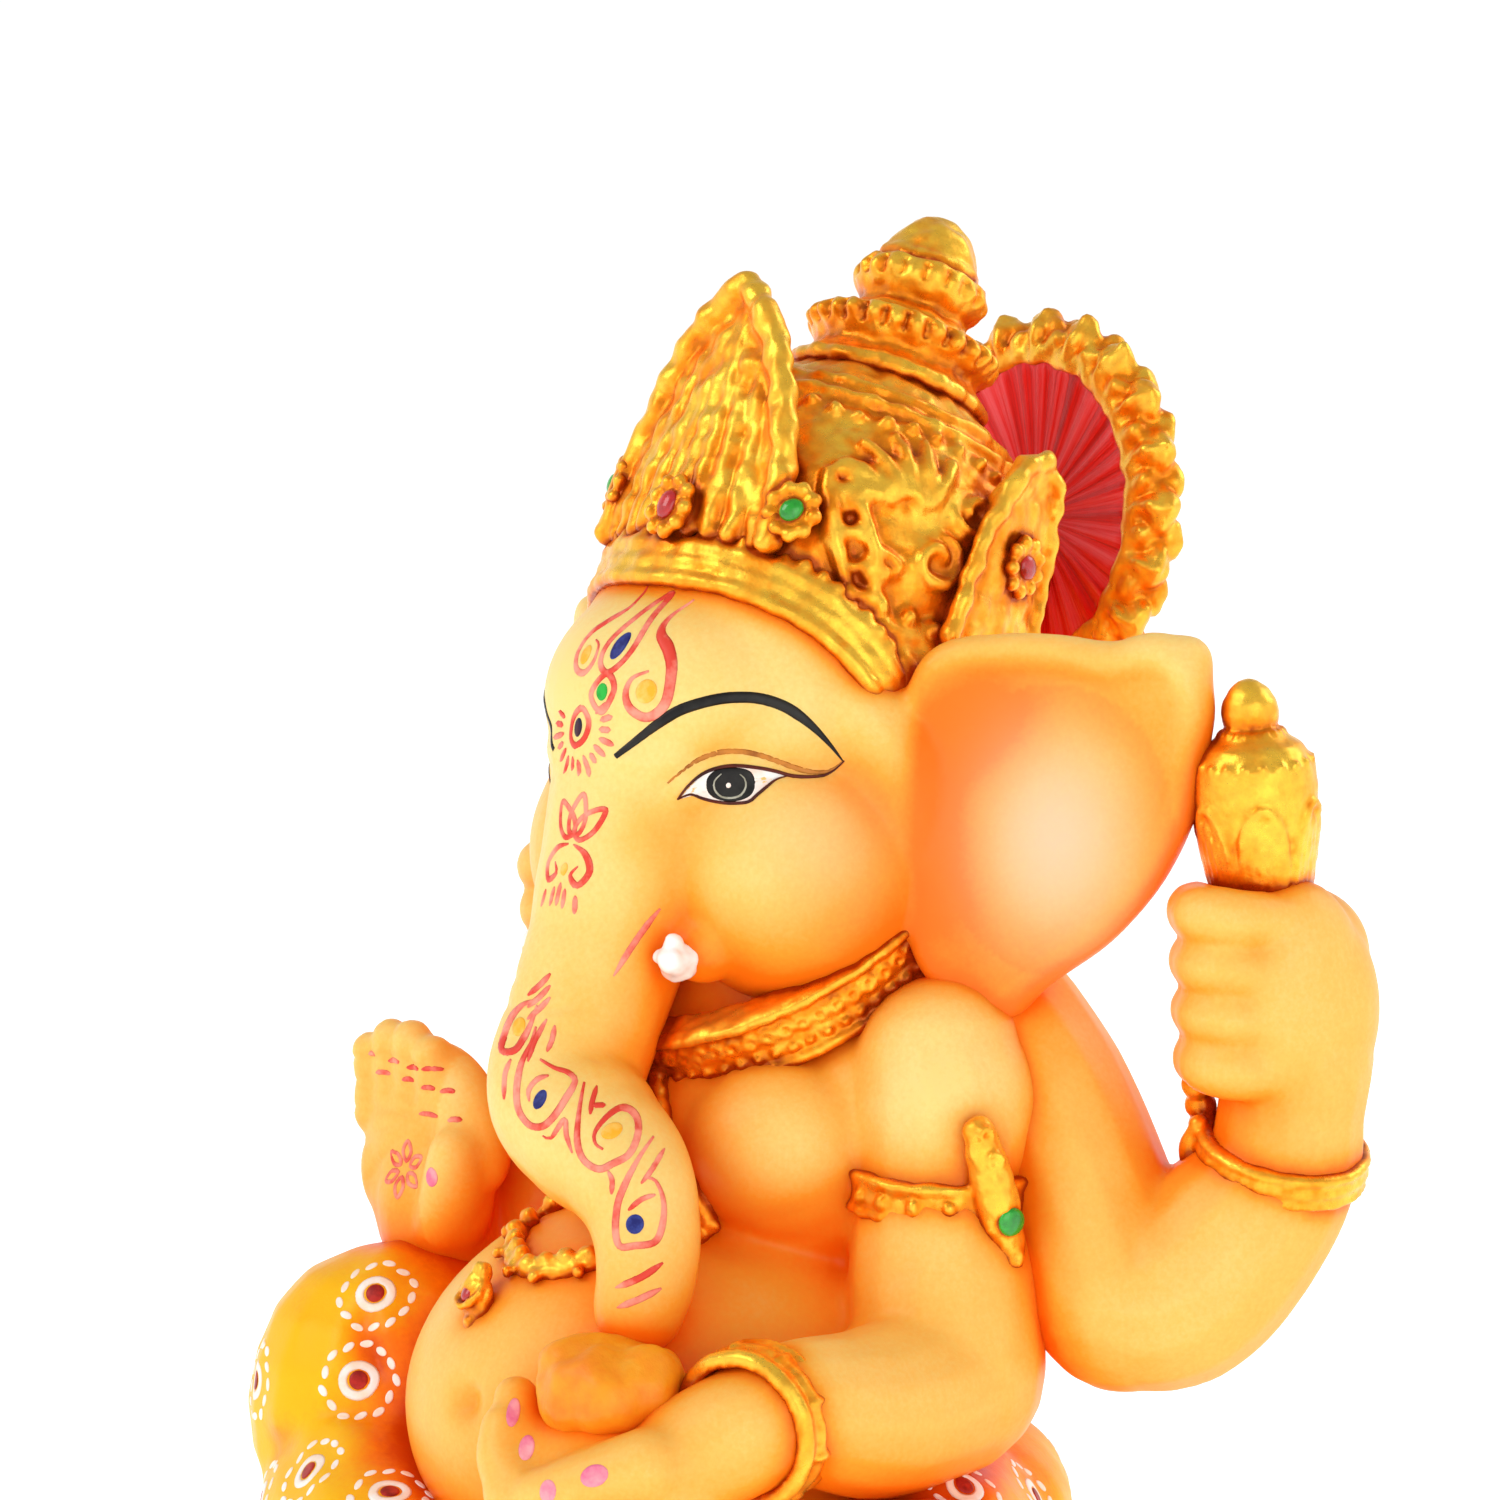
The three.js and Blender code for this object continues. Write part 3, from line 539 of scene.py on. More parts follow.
LID_FOLD = ((-7.5, 0.2), (-5.8, 1.6), (-3.8, 3.0), (-1.2, 3.9), (1.3, 4.0), (3.8, 3.5), (6.3, 2.6),
            (8.8, 1.75), (10.8, 1.5), (12.4, 1.9), (13.6, 2.8))
BROW = ((-13.8, 3.4), (-11.3, 5.3), (-8.8, 7.2), (-6.3, 8.8), (-3.8, 9.7), (-1.2, 10.3), (1.3, 10.5),
        (3.8, 10.3), (6.3, 9.5), (8.3, 8.3), (10.2, 6.7), (12.0, 4.8), (13.5, 2.9))
both_sides(head, [at_eye(u, v) for u, v in LID_FOLD[:-2]], 0.8, 0.4, tuple(CHEEK))
both_sides(head, [at_eye(u, v) for u, v in ((-4, 0), (0, 0.4), (4, 0.2))], 2.6, -0.55, tuple(CHEEK))
for i, z in enumerate((100.5, 97, 93.6, 90.4)):
    press(head, [(-12, -32 - i, z - 1), (0, -43, z), (10, -34 - i, z + 1)], 0.7, 0.22)
press(head, [(21.0, -39.6, 57.6)], 1.6, 1.6)

# ---------------------------------------------------------------- back arms
# Each back arm is cast apart, glued behind the shoulder, and ends in a fist
# closed round the foot of an emblem: four short fingers and a smooth back.
back_arms = {}
for side, s in SIDE.items():
    fist = []
    for i in range(4):
        z, tuck = 91.2 + 5.9 * i, 22 - 0.4 * i
        fist += roll((s * 67.6, tuck - 1.5, z, 3.7),
                     (s * 64.6, tuck - 7.8, z + 0.8, 3.9), (s * 58.2, tuck - 5.4, z + 1, 3.6), fine=4)
    back_arms[side] = knead(side + "_back_arm", [
        *roll((s * 29, 9.5, 93, 11.8), (s * 36, 10.4, 85, 12), (s * 44, 11, 73, 11.6),
              (s * 50, 11, 63, 11.2)),
        *roll((s * 50.5, 11.6, 62.4, 11.2), (s * 55, 15.6, 64, 11.9), (s * 60, 21.5, 71.5, 11.0),
              (s * 63.6, 25, 79.4, 9.4), (s * 64.4, 25.6, 86, 8.9), (s * 65, 26, 92, 9.2)),
        lump((s * 65, 26.5, 98), (9.2, 9.6, 13.4)), lump((s * 67.4, 23.4, 99.4), (6.4, 9.6, 14.4)),
        lump((s * 62.5, 29.5, 104), (8.2, 7.6, 8.2)), *fist,
        *roll((s * 60, 31.5, 92, 4.2), (s * 57.4, 26.5, 96, 3.9), (s * 57.2, 21.4, 100, 3.4)),
    ], 0.6, 7)
RIGHT_DROP = 4.6  # the right back arm is set this much lower, in mm
points = places(back_arms["right"])
points[:, 2] -= RIGHT_DROP * np.clip((points[:, 2] - 60) / 24, 0, 1)
reshape(back_arms["right"], points)

# ---------------------------------------------------------------- sweet
# The round sweet in the left hand is the same resin in a deep amber, with a
# rough top where the trunk's tip touches it.
sweet_coat, tree, shader = coat_of("amber_sweet", Roughness=0.42, Subsurface_Weight=0.35,
                                   Subsurface_Radius=(1.0, 0.4, 0.1), Subsurface_Scale=0.004,
                                   Specular_IOR_Level=0.3, Coat_Weight=0.08, Coat_Roughness=0.3)
shade = ramp(tree, mottle(tree, 5, 4), (0.1, (0.95, 0.24, 0.003)), (0.55, (1.0, 0.36, 0.01)),
             (0.9, (1.0, 0.50, 0.06)))
dress(tree, shader, shade, None, mottle(tree, 0.9, 4), 0.4, 0.2)
sweet = knead("sweet", [
    lump((24, -46, 54.8), (9.4, 9.0, 6.2)), lump((20.6, -47.6, 57.6), (5.6, 5.2, 4.0)),
    lump((28, -45.6, 56.8), (5.4, 5.4, 4.0)), lump((24, -50.2, 54.6), (6.6, 4.4, 4.8)),
], 0.5, 3)
chase(sweet, 4.0, 0.9, 8.0)
finish(sweet, "sweet", "sweet", sweet_coat, "sweet")

# ---------------------------------------------------------------- mace
# The mace in the left fist is cast resin, painted gold: a ball foot, a plain grip,
# and a ribbed head with nested arches in relief under a small teardrop knob.
LEAN = 6
STAFF_TOP = (0, -math.sin(math.radians(LEAN)), math.cos(math.radians(LEAN)))
MACE_PROFILE = ((0.4, -0.5), (2.4, -0.1), (3.4, 1), (4.2, 2.6), (4.2, 3.8), (3.2, 6.2), (3.1, 8), (3.1, 23),
                (4.3, 25.4),
                (4.9, 27.6), (5.6, 31.4), (6.5, 36), (7.2, 40), (7.55, 43.6), (7.3, 46.4), (5.9, 48.8),
                (3.9, 50.2),
                (2.9, 50.8), (3.3, 51.6), (3.5, 52.9), (3.2, 54.2), (2.3, 55.6), (1.2, 56.5), (0.4, 56.8))
mace_parts = [turned(MACE_PROFILE, ring=48)]
for turn in range(6):
    heading = math.radians(60 * turn + 20)
    for wide, top, thick in ((0.42, 44.6, 0.62), (0.25, 42.2, 0.5), (0.09, 40.2, 0.42)):
        arch = []
        for k in range(9):
            share = k / 8
            spread = wide * math.cos(math.pi * share)
            height = 32 + (top - 32) * math.sin(math.pi * share) ** 0.6 - (2.5 if wide > 0.4 else 0)
            reach = np.interp(height, [h for _, h in MACE_PROFILE], [r for r, _ in MACE_PROFILE]) - 0.05
            arch.append((*spoke(heading + spread, reach, height), thick))
        mace_parts += roll(*arch, fine=2, ends=False)
for turn in range(20):
    angle = 2 * math.pi * turn / 20
    for reach, height, size in ((3.6, 50.3, 0.62), (4.75, 26.8, 0.7), (7.0, 47.0, 0.5)):
        mace_parts.append(lump(spoke(angle, reach, height), (size,) * 3, fine=8))
mace = knead("mace", mace_parts, 0.36, 1)
chase(mace, 1.6, 0.1, 5.0)
put(mace, (62, 26, 81), axis=STAFF_TOP)
finish(mace, "mace", "gold", gold, "mace")

# ---------------------------------------------------------------- axe
# The axe in the right fist is cast in gold paint like the mace: a plain shaft with a
# ball foot and a short curved blade with a raised edge, pointing out.
plate_place = Matrix.Rotation(math.radians(90), 4, "X")
axe = knead("axe", [
    turned([(0.4, -0.5), (2.2, -0.1), (3, 1), (3.6, 3.6), (3.1, 6.4), (3.1, 44), (3.6, 45), (3.3, 46.4),
            (2.4, 49), (0.4, 51)],
           ring=40),
    cut_out([(1, 39.4), (-3, 37.6), (-6.6, 33.4), (-8.2, 35.8), (-8.8, 39.5), (-8.2, 43.2), (-6.6, 46),
             (-3, 42.4), (1, 41.4)],
            3.0, 0.8, plate_place),
    *roll((-6.6, 0, 33.8, 0.9), (-8.2, 0, 36.2, 1.4), (-8.7, 0, 39.5, 1.5), (-8.2, 0, 42.8, 1.4),
          (-6.8, 0, 45.6, 0.9)),
], 0.4, 1)
chase(axe, 1.8, 0.2, 6.0)
put(axe, (-62, 26, 81 - RIGHT_DROP), axis=STAFF_TOP)
finish(axe, "axe", "gold", gold, "axe")

# ---------------------------------------------------------------- crown dome
# The crown is cast with the head and leans back with it. Its dome is covered in
# relief, palmettes and curls, in gold paint with painted shade dark in the hollows.
CROWN_FOOT = (0, 3, 137)
CROWN_LEAN = -24
DOME = ((25.4, 3), (26.3, 8), (26.4, 11), (25.7, 17.5), (24.4, 22.4), (22.3, 26.5), (19.4, 30.4), (16, 33.6),
        (12, 37))


def crowned(piece):
    """Sets a piece made in the crown's own mm on the head, leaning back with the crown."""
    return put(piece, CROWN_FOOT, (CROWN_LEAN, 0, 0))


def dome_point(angle, height, proud=0.0):
    """A point on the dome in the crown's own mm: angle in degrees from the front, to the idol's left."""
    reach = float(np.interp(height, [h for _, h in DOME], [r for r, _ in DOME])) + proud
    turn = math.radians(angle)
    return math.sin(turn) * reach, -math.cos(turn) * reach, height


def on_dome(line, thick, proud=0.2, taper=True, fine=2):
    """A relief stroke laid on the dome through (angle, height) pairs, fat in the middle."""
    last = max(len(line) - 1, 1)
    stations = []
    for k, (angle, height) in enumerate(line):
        size = thick * (0.45 + 0.55 * math.sin(math.pi * (k + 0.35) / (last + 0.7))) if taper else thick
        stations.append((*dome_point(angle, height, proud), size))
    return roll(*stations, fine=fine, ends=not taper)


def curl(angle, height, size, turns=1.4, spin=1, start=0.0):
    """A spiral curl on the dome: its middle, its outer size in mm and how far it winds."""
    line = []
    for k in range(int(9 * turns) + 1):
        share = k / (9 * turns)
        reach = size * (1 - 0.78 * share)
        way = math.radians(start) + spin * 2 * math.pi * turns * share
        line.append((angle + math.degrees(reach * math.cos(way) / 26), height + reach * math.sin(way)))
    return line


dome_parts = [turned([(r - 0.6, h) for r, h in DOME], ring=96)]
for s in (1, -1):
    for k in range(6):
        way = math.radians(38 + k * 26)
        line = [(s * 66 + math.degrees((1.6 + 2.1 * n) * math.cos(way + 0.1 * n) / 24),
                 17 + (1.6 + 2.1 * n) * math.sin(way + 0.1 * n))
                for n in range(5)]
        dome_parts += on_dome(line, 1.15, 0.1)
    for line, thick in (
            (curl(s * 52, 14, 3.4, 1.3, s, 90), 0.8), (curl(s * 79, 12.5, 3.8, 1.3, -s, 90), 0.85),
            (curl(s * 88, 20.5, 3.0, 1.2, s, 200), 0.75), (curl(s * 64, 8.6, 2.6, 1.2, s, 0), 0.7),
            (curl(s * 120, 15, 4.0, 1.3, s, 90), 0.85), (curl(s * 150, 15, 4.0, 1.3, -s, 90), 0.85),
            ([(s * 42, 19), (s * 48, 12), (s * 56, 6)], 1.5),
            ([(s * 46, 21), (s * 52, 17), (s * 60, 11), (s * 66, 5)], 1.1)):
        dome_parts += on_dome(line, thick, 0.1)
    for k in range(5):
        dome_parts += on_dome([(s * (45 + 4 * k), 19.5 - 3.6 * k), (s * (50 + 4 * k), 18.5 - 3.6 * k)], 0.8,
                              0.35)
for k in range(40):
    dome_parts.append(lump(dome_point(k * 9, 27.6 + 0.5 * math.sin(k), 0.0), (0.95, 0.95, 0.95), fine=8))
    if abs(((k * 9 + 180) % 360) - 180) > 40:
        dome_parts.append(lump(dome_point(k * 9 + 4, 4.6, 0.3), (1.3, 1.3, 1.3), fine=8))
for height in (29.8, 32.0):
    dome_parts += on_dome([(k * 30, height) for k in range(13)], 0.75, -0.1, taper=False)
dome = knead("crown_dome", dome_parts, 0.42, 1)
crowned(dome)
cap = lump((0, 1, 131), (28.2, 28.8, 27.8), fine=56)
points = places(cap)
slope = math.radians(52)
points[:, 1] = np.maximum(points[:, 1], -15 + (149 - points[:, 2]) / math.tan(slope))
points[:, 2] = np.maximum(points[:, 2], 122.2)
reshape(cap, points)
dome = knead("crown_dome", [dome, cap], 0.46, 1)
chase(dome, 2.4, 0.5, 1.0)
finish(dome, "crown_dome", "gold", gold, "crown_dome")

# ---------------------------------------------------------------- crown brim
# A smooth gold band frames the forehead from ear to ear, with a rolled lower lip
# and, along its upper edge, a row of little balls in relief.
BRIM = ((26.8, -4.4, 129.4), (25.4, -8.0, 136.6), (20.6, -12.8, 143.2), (12.2, -18.2, 147.3),
        (0, -21.4, 148.4),
        (-12.2, -18.2, 147.3), (-20.6, -12.8, 143.2), (-25.4, -8.0, 136.6), (-26.8, -4.4, 129.4))
brim_parts = [
    *roll(*[(x, y, z, 1.2) for x, y, z in BRIM], fine=4),
    *roll(*[(x * 0.975, y + 1.6, z + 1.6, 1.8) for x, y, z in BRIM], fine=4),
    *roll(*[(x * 0.985, y + 2.4, z + 3.7, 1.5) for x, y, z in BRIM], fine=4),
]
for a, b in zip(BRIM, BRIM[1:]):
    for k in range(4):
        spot = Vector(a).lerp(Vector(b), k / 4)
        bump = 1.0 + 0.25 * (k % 2)
        brim_parts.append(lump((spot.x * 0.99, spot.y + 2.6, spot.z + 5.6), (bump,) * 3, fine=8))
brim = knead("crown_brim", brim_parts, 0.42, 2)
chase(brim, 2.6, 0.25, 2.0)
finish(brim, "crown_brim", "gold", gold, "crown_brim")

# ---------------------------------------------------------------- crown leaves
# Three upright leaves stand against the dome, a tall pointed one in front and a small
# rounded one over each ear. Each has a thick rim, folds inside it and a rosette.
def crown_leaf(name, angle, half, foot, tip, rounded, thick):
    """One upright leaf in the crown's own mm: the way it faces, its half width, its foot and its tip."""
    parts, rim = [], []
    rows = 12
    for row in range(rows + 1):
        share = row / rows
        height = foot + (tip - foot) * share
        wide = half * (1 - share ** 2) ** (0.5 if rounded else 0.72) * (1 if rounded else 1 - 0.12 * share)
        reach = 26.2 + 1.4 * (1 - share) + (0.6 if rounded else 0.0)
        rim.append((height, wide, reach))
    for s in (1, -1):
        edge = [(math.sin(math.radians(angle) + s * w / r) * r,
                 -math.cos(math.radians(angle) + s * w / r) * r, h, thick)
                for h, w, r in rim]
        parts += roll(*edge, fine=4)
    for share in (-0.86, -0.66, -0.46, -0.26, -0.08, 0.08, 0.26, 0.46, 0.66, 0.86):
        line = []
        for k, (h, w, r) in enumerate(rim[:-1]):
            way = math.radians(angle) + share * w / r
            line.append((math.sin(way) * (r - 1.3), -math.cos(way) * (r - 1.3), h, 1.5 if w > 2 else 0.9))
        parts += roll(*line, fine=3)
    for k, (share, top, size) in enumerate(((-0.76, 0.34, 0.9), (-0.5, 0.52, 1.1), (-0.2, 0.62, 1.2),
                                            (0.12, 0.56, 1.0), (0.4, 0.66, 1.2), (0.68, 0.46, 1.0))):
        line = []
        for n in range(6):
            h = foot + (tip - foot) * top * n / 5
            w, r = np.interp(h, [e[0] for e in rim], [e[1] for e in rim]), 26.6 - 0.15 * n
            way = math.radians(angle) + (share * w + 0.5 * math.sin(n * 1.3 + k)) / r
            line.append((math.sin(way) * r, -math.cos(way) * r, h,
                         size * (0.5 + 0.5 * math.sin(math.pi * (n + 0.8) / 6.5))))
        parts += roll(*line, fine=3, ends=False)
    leaf = knead(name, parts, 0.42, 2)
    chase(leaf, 2.4, 0.6, 3.0 + angle)
    crowned(leaf)
    return finish(leaf, name, "gold", gold, name)


crown_leaf("crown_front_leaf", 0, 16.4, 7.5, 39.6, False, 1.8)
crown_leaf("crown_left_leaf", 104, 8.4, 4.0, 30.6, True, 1.2)
crown_leaf("crown_right_leaf", -104, 8.4, 4.0, 30.6, True, 1.2)

# ---------------------------------------------------------------- crown tiers and finial
# Two turned collars and a bud finial stack on the dome. Each collar flares to a rim
# nicked into scallops by hand; all of it is gold paint.
def scallop(piece, low, high, count, depth):
    """Nicks a turned rim between two heights into that many scallops."""
    points = places(piece)
    angle = np.arctan2(points[:, 1], points[:, 0])
    within = np.clip((points[:, 2] - low) / 0.7, 0, 1) * np.clip((high - points[:, 2]) / 0.7, 0, 1)
    points[:, :2] *= (1 - depth * within * (1 - np.abs(np.sin(angle * count / 2))))[:, None]
    reshape(piece, points)


TIERS = (
    ("crown_lower_tier", ((13.0, 35.8), (13.3, 36.8), (12.9, 37.9), (11.4, 38.6), (10.7, 39.6), (10.7, 40.4),
                          (11.6, 41.4),
                          (12.6, 42.3), (13.0, 43.1), (12.7, 43.8), (12.0, 44.6)), (41.4, 44.6), 26),
    ("crown_upper_tier", ((8.4, 44.0), (8.6, 45.2), (7.9, 46.2), (7.0, 46.8), (7.1, 47.6), (8.0, 48.8),
                          (8.7, 50.0), (8.9, 50.9), (8.5, 51.8), (8.0, 52.6)), (49.4, 52.4), 18),
    ("crown_finial", ((6.6, 51.8), (6.8, 53.2), (6.5, 54.2), (5.9, 54.7), (5.8, 55.4), (5.2, 56.8),
                      (4.3, 58.1), (3.2, 59.2), (1.8, 60.0), (0.3, 60.3)), (0, 0), 0),
)
for name, profile, rim, count in TIERS:
    tier = knead(name, [turned(profile, ring=96)], 0.36, 2)
    if count:
        scallop(tier, rim[0], rim[1], count, 0.09)
    chase(tier, 2.2, 0.42, 4.0 + rim[0])
    crowned(tier)
    finish(tier, name, "gold", gold, name)

# ---------------------------------------------------------------- crown gems
# Painted gems sit in the crown's relief: each is a flat drop of gloss enamel, green or
# red, and the larger ones lie in a gold rosette of balls.
def enamel(name, dark, bright):
    """Gloss enamel paint with a little cloud in its colour."""
    paint, tree, shader = coat_of(name, Coat_Weight=0.6, Coat_Roughness=0.08)
    dress(tree, shader, ramp(tree, mottle(tree, 1.2, 3), (0.1, dark), (0.9, bright)),
          mottle(tree, 1.0, 3, 0.16, 0.36))
    return paint


green = enamel("green_enamel", (0.0, 0.22, 0.006), (0.012, 0.46, 0.02))
red = enamel("red_enamel", (0.30, 0.0, 0.004), (0.62, 0.014, 0.012))

gem_shapes = {"green": [], "red": []}
rosettes = []
BALLS = 9
for colour, angle, height, wide, tall in (
        ("green", 38, 11.6, 1.35, 1.6), ("green", -35, 13.6, 1.35, 1.6), ("red", 5, 9.2, 1.4, 1.9),
        ("red", 105, 16.8, 1.5, 1.7), ("red", -105, 16.8, 1.5, 1.7)):
    reach = 3.1 if abs(angle) < 30 else 2.8
    face = dome_point(angle, height, reach)
    looks = Vector(dome_point(angle, height, 10)) - Vector(dome_point(angle, height, 0))
    gem = lump(face, (wide, tall, 0.8), axis=looks, fine=20)
    gem_shapes[colour].append(crowned(gem))
    side_way = Vector((0, 0, 1)).cross(looks).normalized()
    for k in range(BALLS):
        way = 2 * math.pi * k / BALLS
        spot = Vector(face) + side_way * math.cos(way) * (wide + 1.4)
        spot += Vector((0, 0, 1)) * math.sin(way) * (tall + 1.4) - looks.normalized() * 0.5
        ball = lump(spot, (1.05, 1.05, 1.05), fine=10)
        rosettes.append(crowned(ball))
    bed = lump(Vector(face) - looks.normalized() * 1.3, (wide + 1.5, tall + 1.5, 1.5), axis=looks, fine=20)
    rosettes.append(crowned(bed))
rosette = knead("crown_rosettes", rosettes, 0.36, 1)
chase(rosette, 1.4, 0.2, 9.0)
finish(rosette, "crown_rosettes", "gold", gold)
for colour, paint in (("green", green), ("red", red)):
    pick(*gem_shapes[colour])
    bpy.ops.object.join()
    finish(bpy.context.object, "crown_gems_" + colour, "crimson" if colour == "red" else "gold", paint)

# ---------------------------------------------------------------- halo
# Behind the crown stands a round halo: a shallow crimson dish, brushed with pale
# streaks, inside a gold rim of two rows of petals. A boss joins it to the dome.
HALO_MIDDLE = (0, 42.5, 154)
HALO_TILT = 8
halo_red, tree, shader = coat_of("halo_crimson", Specular_IOR_Level=0.3, Coat_Weight=0.08,
                                 Coat_Roughness=0.25)
spot = node(tree, "TexCoord", {})
centred = node(tree, "VectorMath", {0: spot.outputs["Object"], 1: Vector(HALO_MIDDLE) * -MM}, operation="ADD")
axes = node(tree, "SeparateXYZ", {"Vector": centred.outputs["Vector"]})
around = node(tree, "Math", {0: axes.outputs["Z"], 1: axes.outputs["X"]}, operation="ARCTAN2")
length = node(tree, "VectorMath", {0: centred.outputs["Vector"]}, operation="LENGTH")
polar = node(tree, "CombineXYZ", {"X": around.outputs["Value"], "Y": length.outputs["Value"], "Z": 0.0})
streaks = node(tree, "TexNoise", {"Vector": polar.outputs["Vector"], "Scale": 9.0, "Detail": 6.0,
                                  "Roughness": 0.7})
brushed = ramp(tree, streaks.outputs["Fac"], (0.36, (0.50, 0.002, 0.002)), (0.5, (0.90, 0.010, 0.008)),
               (0.64, (1.0, 0.11, 0.13)))
dress(tree, shader, brushed, mottle(tree, 1.5, 4, 0.28, 0.5), streaks.outputs["Fac"], 0.8, 0.4)

hollowed = [(18.1 - 0.59 * k, 0.1 + 2.3 * (1 - k / 30) ** 1.6 - 0.7) for k in range(31)]
dish = turned([(12.5, -2.2), (18.6, -2.0), (18.9, -1.6), (18.9, 1.3), (18.6, 1.8), *hollowed], ring=170)
points = places(dish)
angle, reach = np.arctan2(points[:, 1], points[:, 0]), np.hypot(points[:, 0], points[:, 1])
front = (points[:, 2] > -1.5) & (reach < 18.0)
points[:, 2] += np.where(front, 0.28 * np.sin(angle * 34) * np.clip(reach / 16, 0, 1), 0)
reshape(dish, points)
put(dish, HALO_MIDDLE, (90 - HALO_TILT, 0, 0), stretch=(1.08, 1.08, 1))
finish(dish, "halo_dish", "crimson", halo_red, "halo_dish")

rim_parts = roll((0, -9, 0, 5.5), (0, -11, 6, 5.5), (0, -12, 12, 6.5), fine=6)
hoop_line = [(*spoke(k * math.pi / 12, 19.6, 0.6), 2.0) for k in range(25)]
rim_parts += roll(*hoop_line, fine=4)
rim_parts += roll(*[(x * 1.07, y * 1.07, -0.9, 2.1) for x, y, _, _ in hoop_line], fine=4)
for k in range(21):
    way = 2 * math.pi * (k + 0.25) / 21
    rim_parts.append(lump(spoke(way, 22.4, 0.2), (2.7, 2.9, 1.9), (0, 0, math.degrees(way)), fine=16))
    rim_parts += roll(*[(*spoke(way, r, h), 0.8) for r, h in ((20.6, 2.2), (22.6, 2.2), (24.6, 0.9))], fine=2)
    way += math.pi / 21
    for reach, height, size in ((21.0, 1.5, (1.7, 1.6, 1.3)), (22.4, -1.9, (2.0, 2.6, 1.6))):
        rim_parts.append(lump(spoke(way, reach, height), size, (0, 0, math.degrees(way)), fine=12))
halo = knead("halo_rim", rim_parts, 0.42, 1)
chase(halo, 2.2, 0.55, 7.0)
put(halo, HALO_MIDDLE, (90 - HALO_TILT, 0, 0), stretch=(1.08, 1.08, 1))
finish(halo, "halo_rim", "gold", gold, "halo_rim")

# ---------------------------------------------------------------- collar
# A broad gold collar slopes round the neck under the chin, with a smooth edge above
# and below and two rows of small rings cast between them.
def hoop(section, steps=96):
    """Sweeps a closed (radius, height) section in mm round the upright axis."""
    mesh = bpy.data.meshes.new("hoop")
    count = len(section)
    edges = [(i, (i + 1) % count) for i in range(count)]
    mesh.from_pydata([(r * MM, 0, h * MM) for r, h in section], edges, [])
    piece = bpy.data.objects.new("hoop", mesh)
    bpy.context.collection.objects.link(piece)
    pick(piece)
    bpy.ops.object.mode_set(mode="EDIT")
    bpy.ops.mesh.select_all(action="SELECT")
    bpy.ops.mesh.spin(steps=steps, angle=2 * math.pi, center=(0, 0, 0), axis=(0, 0, 1))
    bpy.ops.mesh.select_all(action="SELECT")
    bpy.ops.mesh.remove_doubles(threshold=0.002 * MM)
    bpy.ops.mesh.normals_make_consistent(inside=False)
    bpy.ops.object.mode_set(mode="OBJECT")
    return piece


def ring_at(spot, axis, big, small, fine=14):
    """A small wire ring lying square to an axis."""
    ring = copied(("ring", big, small, fine), lambda: bpy.ops.mesh.primitive_torus_add(
        major_segments=fine, minor_segments=6, major_radius=big * MM, minor_radius=small * MM))
    return put(ring, spot, axis=axis)


collar_parts = [hoop([(23.6, -4.3), (27.6, -4.5), (28.9, -4.0), (29.0, -3.1), (28.2, -2.5), (28.1, 2.5),
                      (28.9, 3.0), (28.8, 3.8), (27.6, 4.3), (23.6, 4.3)])]
for k in range(76):
    way = 2 * math.pi * k / 76
    collar_parts.append(ring_at(spoke(way, 28.2, 0.9), spoke(way, 1), 0.8, 0.36))
    collar_parts.append(lump(spoke(way, 28.1, -1.6), (0.8, 0.9, 0.7), fine=8))
collar = knead("collar", collar_parts, 0.34, 1)
put(collar, (0, -0.3, 104.4), axis=(0, -0.56, 0.83))
chase(collar, 1.8, 0.25, 11.0)
finish(collar, "collar", "gold", gold, "collar")

# ---------------------------------------------------------------- long necklace and pendant
# A cast chain of fat beads lies on the upper belly, hung from the collar, with a
# leaf pendant below it that holds one red gem.
def all_round(pieces):
    """One search tree over all these pieces."""
    points, faces, base = [], [], 0
    for piece in pieces:
        points += [v.co for v in piece.data.vertices]
        faces += [[base + i for i in f.vertices] for f in piece.data.polygons]
        base = len(points)
    return BVHTree.FromPolygons(points, faces)


torso = all_round([body])


def on_torso(x, z, proud=0.0):
    """The spot on the front of the body at x and z, in mm, lifted proud of it."""
    spot, normal, _, _ = torso.ray_cast(Vector((x, -90, z)) * MM, Vector((0, 1, 0)))
    return spot / MM + normal * proud


HALF_CHAIN = ((2.5, 92), (4.6, 87), (8.2, 81), (12.4, 75.6), (13.8, 71.2), (9.4, 67.0))
chain_line = [*HALF_CHAIN, (0, 64.8), *[(-x, z) for x, z in reversed(HALF_CHAIN)]]
chain_parts = [*roll(*[(*on_torso(x, z, 0.2), 1.35) for x, z in chain_line], fine=3)]
for a, b in zip(chain_line, chain_line[1:]):
    for k in range(4):
        x, z = a[0] + (b[0] - a[0]) * k / 4, a[1] + (b[1] - a[1]) * k / 4
        chain_parts.append(lump(on_torso(x, z, 0.8), (1.5, 1.25, 1.7), fine=10))
        if k % 2:
            chain_parts.append(lump(on_torso(x * 1.1, z - 1.5, 1.0), (0.8, 0.8, 0.9), fine=8))
chain_parts += roll(*[(*on_torso(0.5, z, 0.6), r) for z, r in ((73.8, 1.7), (72.0, 2.5), (70.2, 1.7))],
                    fine=3)
chain = knead("long_necklace", chain_parts, 0.36, 1)
chase(chain, 1.4, 0.3, 12.0)
finish(chain, "long_necklace", "gold", gold, "long_necklace")

